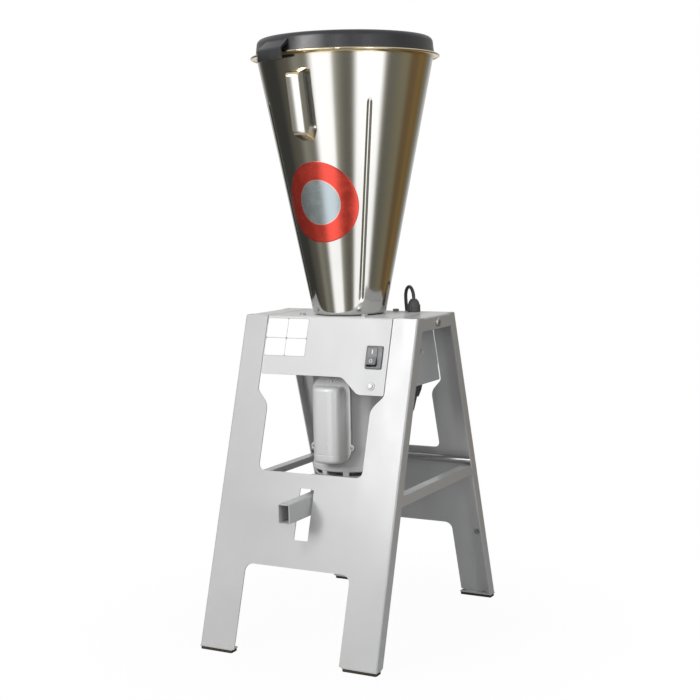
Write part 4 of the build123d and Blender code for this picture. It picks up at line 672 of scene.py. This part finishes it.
class TILTBLENDER_OT_bowl(bpy.types.Operator):
    """Conical bowl with its four pressed ribs and rolled rim, its strap handle and round badge"""

    bl_idname = "tiltblender.bowl"
    bl_label = "Bowl"

    def execute(self, context):
        settings = context.scene.tilt_bowl
        rim = settings.rim_height
        # The straw band round the rim bead is a painted warm reflection
        self.shell(settings, brushed_steel(
            "bowl_steel", tuple(settings.steel), 0.12, (14.0, 14.0, 2600.0), depth=0.000005,
            warm_painted_reflection=[(rim - 0.004, 0.0), (rim, 0.8), (rim + 0.004, 0.8), (rim + 0.0085, 0.3)]))
        # The handle's steel is the bowl's steel made lighter, a painted highlight on the strap
        # The straw bands at the strap's two bends are painted warm reflections
        self.handle(brushed_steel(
            "handle_steel_painted_highlight", scaled(settings.steel, 1.12), 0.2, (14.0, 14.0, 2600.0), depth=0.000005,
            warm_painted_reflection=[(0.994, 1.0), (1.002, 0.3), (1.008, 0.0), (1.103, 0.0), (1.110, 0.8), (1.122, 0.9)]))
        self.badge()
        return {"FINISHED"}

    def shell(self, settings, steel):
        """Closed profile of outside, rim and inside turned about Z, less the rib depth along the radius."""
        wall, rim = settings.wall, settings.rim_height
        low = cone_radius(BOWL_FOOT)
        shaft_hole, flange_edge, flange_low, flange_high = 0.017, 0.1845, 1.15475, 1.15625
        bead_centre, bead_height, bead_radius = 0.1865, 1.1555, 0.0024
        line = rounded(
            [(shaft_hole, BOWL_FOOT), (low, BOWL_FOOT), (cone_radius(rim), rim),
             (cone_radius(rim) + 0.0025, flange_low), (flange_edge, flange_low)],
            [0.0, 0.008, 0.004, 0.002, 0.0], 10)
        bead_turn = np.radians(np.linspace(205.0, 515.0, 22))
        bead = np.stack([bead_centre + bead_radius * np.cos(bead_turn),
                         bead_height + bead_radius * np.sin(bead_turn)], axis=1)
        back = rounded(
            [(flange_edge, flange_high), (cone_radius(rim) - 0.0005, flange_high),
             (cone_radius(rim) - wall - 0.0003, rim), (low - wall - 0.0006, BOWL_FOOT + wall),
             (shaft_hole, BOWL_FOOT + wall)],
            [0.0, 0.0025, 0.006, 0.0065, 0.0], 10)
        profile = np.concatenate([divided(line, 0.004), bead, divided(back, 0.004)])
        near = np.concatenate([np.linspace(-4.6, 4.6, 32), np.arange(7.0, 85.0, 2.6)])
        azimuths = np.sort(np.radians(np.concatenate([45.0 + 90.0 * k + near for k in range(4)])) % TURN)
        grid = lathe(profile, azimuths)
        heights, turns = np.meshgrid(profile[:, 1], azimuths, indexing="ij")
        radius = np.hypot(grid[..., 0], grid[..., 1])
        press = rib_press(turns, heights, settings.rib_depth) * (radius > cone_radius(heights) - 0.004)
        scale = (radius - press) / radius
        grid[..., :2] *= scale[..., None]
        rows, columns = len(profile), len(azimuths)
        piece = new_piece("bowl_shell", grid, grid_faces(rows, columns, closed=True), "head", steel,
                          ["bowl"], 0.7)
        grid_uv(piece, azimuths[None, :] / TURN, np.linspace(0.0, 1.0, rows)[:, None])

    def handle(self, steel):
        """Flat strap bent out of the cone and back, its path in the plane of the handle's azimuth."""
        turn, face_turn, elbow = math.radians(-2.3), math.radians(9.0), 0.03175
        width, thickness, edge = 0.0258, 0.0025, 0.0009
        out = np.array([math.sin(turn), -math.cos(turn), 0.0])
        across = np.array([math.cos(turn + face_turn), math.sin(turn + face_turn), 0.0])
        flat = rounded(
            [(cone_radius(1.123) - 0.0008, 1.123), (cone_radius(1.113) + elbow, 1.113),
             (cone_radius(1.001) + elbow, 1.001), (cone_radius(0.990) - 0.0008, 0.990)],
            [0.0, 0.009, 0.009, 0.0], 12)
        flat = divided(flat, 0.004)
        path = flat[:, 0:1] * out + np.stack([0 * flat[:, 1], 0 * flat[:, 1], flat[:, 1]], axis=1)
        grid = strap_along(path, across, width, thickness, edge)
        faces = capped_faces(*grid.shape[:2], flip=True)
        new_piece("bowl_handle_strap", grid, faces, "head", steel, ["bowl_handle"], 0.7)

    def badge(self):
        """Thin disc bent onto the cone: across over the radius gives the azimuth, up along the slope the height."""
        middle, outer, thick = 0.870, 0.080, 0.0003
        face = np.linspace(0.004, outer - 0.0006, 20)
        rho = np.concatenate([face, [outer, outer], face[::-1]])
        proud = np.concatenate([np.full(20, thick), [thick * 0.7, -0.0002], np.full(20, -0.0002)])
        around = np.arange(72) * TURN / 72
        across, up = rho[:, None] * np.cos(around), rho[:, None] * np.sin(around)
        height = middle + up * math.cos(math.atan(CONE_SLOPE))
        azimuth = across / cone_radius(height)
        radius = cone_radius(height) + proud[:, None]
        grid = np.stack([radius * np.sin(azimuth), -radius * np.cos(azimuth), height], axis=2)
        faces = capped_faces(*grid.shape[:2], flip=True)
        finish = badge_finish("badge_foil", (0.80, 0.085, 0.06), (0.85, 0.62, 0.55), (0.45, 0.52, 0.55))
        piece = new_piece("bowl_badge", grid, faces, "head", finish)
        grid_uv(piece, around[None, :] / TURN, (rho / outer)[:, None])


# Lid


class TILTBLENDER_OT_lid(bpy.types.Operator):
    """Plastic lid with rounded edge, inner skirt and the grip tab over the rim"""

    bl_idname = "tiltblender.lid"
    bl_label = "Lid"

    def execute(self, context):
        settings = context.scene.tilt_lid
        plastic = moulded("lid_plastic", tuple(settings.colour), 0.34, grain=520.0, depth=0.00006, worn=0.4)
        foot, wall, skirt, skirt_foot, pole = 1.15655, 0.004, 0.168, 1.14055, 0.0012
        top, outer = foot + settings.height, settings.radius
        line = rounded(
            [(pole, top), (0.150, top), (outer - wall, top), (outer, foot), (skirt, foot), (skirt, skirt_foot),
             (skirt - wall, skirt_foot), (skirt - wall, top - wall), (pole, top - wall)],
            [0.0, 0.0, 0.011, 0.0008, 0.0, 0.001, 0.001, 0.004, 0.0], 10)
        profile = divided(line, 0.01)
        azimuths = np.arange(180) * TURN / 180
        grid = lathe(profile, azimuths)
        prism("lid_cover", grid, "lid", plastic, ["lid"], 0.7, inside_out=True)
        self.tab(plastic)
        return {"FINISHED"}

    def tab(self, plastic):
        """Grip over the rim: one folded profile carried round the azimuth, a little prouder along one end."""
        start, end, ridge = (math.radians(a) for a in (-31.0, -9.5, 2.2))
        plain = [(0.1705, 1.1825), (0.1725, 1.1825), (0.1965, 1.163), (0.1965, 1.140), (0.1925, 1.140),
                 (0.1925, 1.161), (0.1705, 1.177)]
        radii = [0.0, 0.003, 0.006, 0.001, 0.001, 0.003, 0.0]
        section = rounded(plain, radii, 6, closed=True)
        step = 0.0015
        turns = np.concatenate([np.linspace(start, end - ridge, 22), np.linspace(end - ridge + step, end, 5)])
        proud = np.where(turns > end - ridge + step / 2, 0.002, 0.0)
        radius = section[None, :, 0] + proud[:, None] * (section[None, :, 0] > 0.172)
        height = section[None, :, 1] + 0.0 * proud[:, None]
        grid = np.stack([radius * np.sin(turns)[:, None], -radius * np.cos(turns)[:, None], height], axis=2)
        prism("lid_tab", grid, "lid", plastic, sharp=0.6, inside_out=True)


# Motor


class TILTBLENDER_OT_motor(bpy.types.Operator):
    """Finishes of the motor's castings, its shell, capacitor cover and what is inside"""

    bl_idname = "tiltblender.motor"
    bl_label = "Motor"

    def execute(self, context):
        paint = tuple(context.scene.tilt_paint.motor)
        # Motor enamel lighter than the housing's: painted light
        cast = enamel("motor_enamel_painted_light", paint, 0.4, grain=600.0, depth=0.00012, mottle=0.05, coat=0.3)
        dress(cast, "motor_shell", "motor_top_shield", "motor_bottom_shield", "cover_base")
        # The cover takes the motor's painted-light tone, a little lighter still
        self.cover(enamel("cover_enamel_painted_light", scaled(paint, 1.02), 0.3, grain=600.0, mottle=0.02, coat=0.6))
        dress(laminated("stator_sheets", (0.32, 0.32, 0.33)), "stator_core")
        dress(laminated("rotor_sheets", (0.34, 0.34, 0.34)), "rotor_core")
        dress(wound("winding_wire", (0.55, 0.27, 0.12)), "stator_windings")
        dress(moulded("fan_plastic", (0.10, 0.10, 0.11), 0.5), "fan")
        dress(moulded("capacitor_case", (0.14, 0.14, 0.145), 0.4), "capacitor")
        steel = plated("motor_steel", (0.55, 0.55, 0.55), 0.3)
        dress(steel, "motor_shaft", "motor_bearings", "deck_bolts", "cover_screws")
        return {"FINISHED"}

    def cover(self, finish):
        """Capacitor cover: a bulging section, |x / half width|^p + |y / depth|^p = 1, carried up the motor's front.

        Towards both ends the section shrinks along a quarter circle, and a seam runs round it near the foot.
        """
        half_width, depth, back, power = 0.0315, COVER_FRONT - COVER_BACK, COVER_BACK, 3.2
        foot, top, turn, seam = 0.353, 0.506, 0.008, 0.3712
        angles = np.linspace(math.pi, 0.0, 61)
        across = half_width * np.sign(np.cos(angles)) * np.abs(np.cos(angles)) ** (2 / power)
        proud = depth * np.abs(np.sin(angles)) ** (2 / power)
        bend = np.linspace(0.0, math.pi / 2, 9)
        low = np.stack([foot + turn * (1 - np.sin(bend)), 1 - turn / half_width * (1 - np.cos(bend))], axis=1)
        high = np.stack([top - turn * (1 - np.sin(bend)), low[:, 1]], axis=1)
        groove = [[seam - 0.0011, 1.0], [seam - 0.0004, 0.985], [seam + 0.0004, 0.985], [seam + 0.0011, 1.0]]
        rows = np.concatenate([low[::-1], groove, [[0.43, 1.0]], high])
        rows = rows[np.argsort(rows[:, 0], kind="stable")]
        size, height = rows[:, 1][:, None], rows[:, 0][:, None]
        grid = np.stack([size * across, -(back + proud * (1 - 0.9 * (1 - size))), height + 0.0 * across], axis=2)
        prism("capacitor_cover_shell", grid, "head", finish, ["capacitor_cover"])


def dress(finish, *names):
    """Gives CAD nodes their new finish."""
    for name in names:
        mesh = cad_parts[name].data
        mesh.materials.clear()
        mesh.materials.append(finish)


class TILTBLENDER_OT_stand(bpy.types.Operator):
    """Finishes of the stand, the lever and their small parts"""

    bl_idname = "tiltblender.stand"
    bl_label = "Stand and lever"

    def execute(self, context):
        paint = tuple(context.scene.tilt_paint.stand)
        # Stand enamel darker than the housing's: painted shade
        sheet = enamel("stand_enamel_painted_shade", paint, 0.36, coat=0.5)
        dress(sheet, "front_panel", "rear_panel", "left_bridge", "right_bridge", "left_rail", "right_rail",
              "foot_plates", "lever_tube", "lever_hub", "catch_plates", "spring_tab")
        bolt = plated("bolt_plating", (0.42, 0.42, 0.415), 0.36)
        dress(bolt, "foot_screws", "leg_bolt", "pivot_bolts", "pivot_nuts", "lever_axle", "axle_collars")
        dress(plated("spacer_steel", (0.46, 0.46, 0.46), 0.38), "pivot_spacers")
        dress(plated("spring_wire", (0.42, 0.42, 0.43), 0.3), "lever_spring")
        self.pads(moulded("foot_rubber", (0.034, 0.025, 0.017), 0.7, grain=420.0, depth=0.0002))
        return {"FINISHED"}

    def pads(self, rubber):
        """Four rubber slabs under the foot plates, each a rounded outline drawn in a little at top and bottom."""
        outline = rounded_box(0.0362, 0.0102, 0.003)
        slab = np.stack([np.column_stack([outline * size, np.full(len(outline), height)])
                         for height, size in ((0.0, 0.985), (0.0006, 1.0), (0.0054, 1.0), (0.006, 0.985))])
        one = slab.reshape(-1, 3)
        points, faces = [], []
        for k, (x, y) in enumerate((sx * FOOT_X, sy * FOOT_Y) for sx in (-1, 1) for sy in (-1, 1)):
            points.append(one + (x, y, 0.0))
            faces += [[corner + k * len(one) for corner in face] for face in capped_faces(*slab.shape[:2])]
        new_piece("rubber_pads", np.concatenate(points), faces, ROOT_BODY, rubber, ["rubber_feet"],
                  0.3)


class TILTBLENDER_OT_head(bpy.types.Operator):
    """Finishes of the head's housing, hub, blades, switch and gland, and the blank plate on its front"""

    bl_idname = "tiltblender.head"
    bl_label = "Head"

    def execute(self, context):
        paint = tuple(context.scene.tilt_paint.housing)
        sheet = enamel("housing_enamel", paint, 0.42, coat=0.1)
        dress(sheet, "head_housing", "left_side_plate", "right_side_plate", "stop_studs", "keeper")
        dress(plated("bush_brass", (0.62, 0.48, 0.25), 0.32), "pivot_bushes")
        rubber = moulded("seal_rubber", (0.05, 0.05, 0.05), 0.6)
        dress(rubber, "bowl_gasket", "shaft_seal")
        inner = brushed_steel("inner_steel", (0.62, 0.61, 0.58), 0.24, (40.0, 40.0, 900.0))
        dress(inner, "bowl_hub", "blades", "blade_nut")
        black = moulded("switch_plastic", (0.075, 0.077, 0.08), 0.38, grain=900.0, depth=0.00004, worn=0.25)
        dress(black, "switch_bezel")
        dress(moulded("rocker_plastic", (0.17, 0.175, 0.18), 0.42, grain=1200.0, depth=0.00003), "rocker")
        self.switch_marks()
        dress(moulded("collar_plastic", (0.55, 0.55, 0.54), 0.35), "reset_collar")
        dress(moulded("button_plastic", (0.80, 0.80, 0.78), 0.28, worn=0.1), "reset_button")
        gland = moulded("gland_plastic", (0.055, 0.055, 0.058), 0.42, grain=800.0, depth=0.00006)
        dress(gland, "gland_nut", "plug")
        self.gland(gland)
        dress(moulded("strap_plastic", (0.06, 0.06, 0.065), 0.5), "cord_strap")
        dress(plated("pin_brass", (0.62, 0.52, 0.33), 0.3), "plug_pins")
        self.plate()
        return {"FINISHED"}

    def plate(self):
        """Blank plate of four cells on the leaning front, each cell a thin rounded tile on a darker backing."""
        film = moulded("plate_film", (0.96, 0.96, 0.955), 0.45, grain=300.0, depth=0.00002, worn=0.02)
        ink = moulded("plate_backing_film", (0.20, 0.20, 0.20), 0.4, grain=300.0, depth=0.00002, worn=0.1)
        left, right, top, foot = -0.1385, -0.0450, 0.6385, 0.5660
        middle_x, middle_z, gap, edge = -0.0915, 0.6005, 0.0004, 0.0005
        tiles = [("plate_backing", ink, left - edge, right + edge, foot - edge, top + edge, 0.0, 0.0002)]
        for level, z0, z1 in (("top", middle_z + gap, top), ("low", foot, middle_z - gap)):
            for side, x0, x1 in (("left", left, middle_x - gap), ("right", middle_x + gap, right)):
                tiles.append((f"plate_cell_{level}_{side}", film, x0, x1, z0, z1, 0.0001, 0.0005))
        place = Matrix((Vector((1.0, 0.0, 0.0)), FRONT_UP, FRONT_NORMAL)).transposed()
        for name, finish, x0, x1, z0, z1, low, high in tiles:
            ring = rounded_box((x1 - x0) / 2, (z1 - z0) / 2 / FRONT_UP.z, 0.003)
            points = tile(ring, low, high, 0.0002)
            middle = front_point((x0 + x1) / 2, (z0 + z1) / 2)
            prism(name, points @ np.array(place).T + np.array(middle), "head", finish)

    def switch_marks(self):
        """Line and ring moulded into the rocker's two faces, laid on each face's own plane at rest."""
        white = moulded("mark_white", (0.85, 0.85, 0.84), 0.35, worn=0.1)
        pivot = np.array(front_point(ROCKER_X, SWITCH_HEIGHT, -0.003))
        lean = Matrix.Rotation(math.radians(-8.0), 3, "X")
        up, out = np.array(lean @ FRONT_UP), np.array(lean @ FRONT_NORMAL)
        slope = math.atan2(ROCKER_CROWN - ROCKER_VALLEY, ROCKER_HALF)
        for name, side, ring in (("rocker_mark_line", 1.0, None), ("rocker_mark_ring", -1.0, 0.0031)):
            along = math.cos(slope) * up + side * math.sin(slope) * out
            normal = -side * math.sin(slope) * up + math.cos(slope) * out
            middle = pivot + side * 0.0095 * up + (0.006 + ROCKER_VALLEY + math.tan(slope) * 0.0095) * out
            axes = np.array([(1.0, 0.0, 0.0), along, normal])
            if ring is None:
                bar = rounded_box(0.001, 0.0042, 0.0006)
                prism(name, tile(bar, -0.0001, 0.00015, 0.0001) @ axes + middle, "rocker", white)
            else:
                section = np.array([(0.0006, -0.0001), (0.0006, 0.0001), (0.0004, 0.00015),
                                    (-0.0004, 0.00015), (-0.0006, 0.0001), (-0.0006, -0.0001)]) + (ring, 0.0)
                grid = lathe(section, np.arange(40) * TURN / 40)
                new_piece(name, grid @ axes + middle, grid_faces(6, 40, closed=True), "rocker", white,
                          sharp=0.6)

    def gland(self, plastic):
        """Cable gland turned about its own axis: ribbed nut, smooth dome and the tail through the deck.

        The nut's radius has a rib at each of its teeth: the radius plus a cosine of the azimuth times the teeth,
        cut off below, over the nut's height.
        """
        line = rounded(
            [(0.0005, 0.0265), (0.0045, 0.0265), (0.0062, 0.0265), (0.0100, 0.0215), (0.0122, 0.0150),
             (0.0133, 0.0140), (0.0133, 0.0020), (0.0128, 0.0), (0.0090, 0.0), (0.0090, -0.0120), (0.0005, -0.0120)],
            [0.0, 0.0, 0.0012, 0.004, 0.0006, 0.0005, 0.0005, 0.0, 0.0, 0.0008, 0.0], 5)
        profile = divided(line, 0.0012)
        azimuths = np.arange(144) * TURN / 144
        grid = lathe(profile, azimuths)
        teeth, tooth_share = 18, 0.022
        tooth = np.clip(np.cos(azimuths * teeth) * 1.6, -1.0, 1.0)[None, :]
        on_nut = ((profile[:, 1] > 0.0015) & (profile[:, 1] < 0.0142) & (profile[:, 0] > 0.0127))[:, None]
        grid[..., :2] *= (1.0 + on_nut * (tooth - 1.0) * tooth_share)[..., None]
        grid += np.array([*GLAND_PLACE, DECK_TOP])
        prism("gland_body", grid, "head", plastic, ["cable_gland"], 0.6, inside_out=True)


# Panel and run

OPERATORS = (TILTBLENDER_OT_stage, TILTBLENDER_OT_lead, TILTBLENDER_OT_stand, TILTBLENDER_OT_head,
             TILTBLENDER_OT_motor, TILTBLENDER_OT_bowl, TILTBLENDER_OT_lid)


class TILTBLENDER_PT_pieces(bpy.types.Panel):
    """Sidebar panel that lists the pieces and their settings"""

    bl_label = "Tilting Floor Blender"
    bl_idname = "TILTBLENDER_PT_pieces"
    bl_space_type = "VIEW_3D"
    bl_region_type = "UI"
    bl_category = "Blender Part"

    def draw(self, context):
        for name, group in SETTINGS.items():
            box = self.layout.box()
            for key in group.__annotations__:
                box.prop(getattr(context.scene, name), key)
        for operator in OPERATORS:
            self.layout.operator(operator.bl_idname)


SETTINGS = {"tilt_studio": StudioSettings, "tilt_bowl": BowlSettings, "tilt_lid": LidSettings,
            "tilt_paint": PaintSettings, "tilt_lead": LeadSettings}
CLASSES = (*SETTINGS.values(), *OPERATORS, TILTBLENDER_PT_pieces)


def register():
    for made in CLASSES:
        bpy.utils.register_class(made)
    for name, group in SETTINGS.items():
        setattr(bpy.types.Scene, name, PointerProperty(type=group))


def unregister():
    for name in SETTINGS:
        delattr(bpy.types.Scene, name)
    for made in reversed(CLASSES):
        bpy.utils.unregister_class(made)


def main():
    register()
    bpy.ops.tiltblender.stage()
    bpy.ops.tiltblender.lead()
    bpy.ops.tiltblender.stand()
    bpy.ops.tiltblender.head()
    bpy.ops.tiltblender.motor()
    bpy.ops.tiltblender.bowl()
    bpy.ops.tiltblender.lid()


if __name__ == "__main__":
    main()
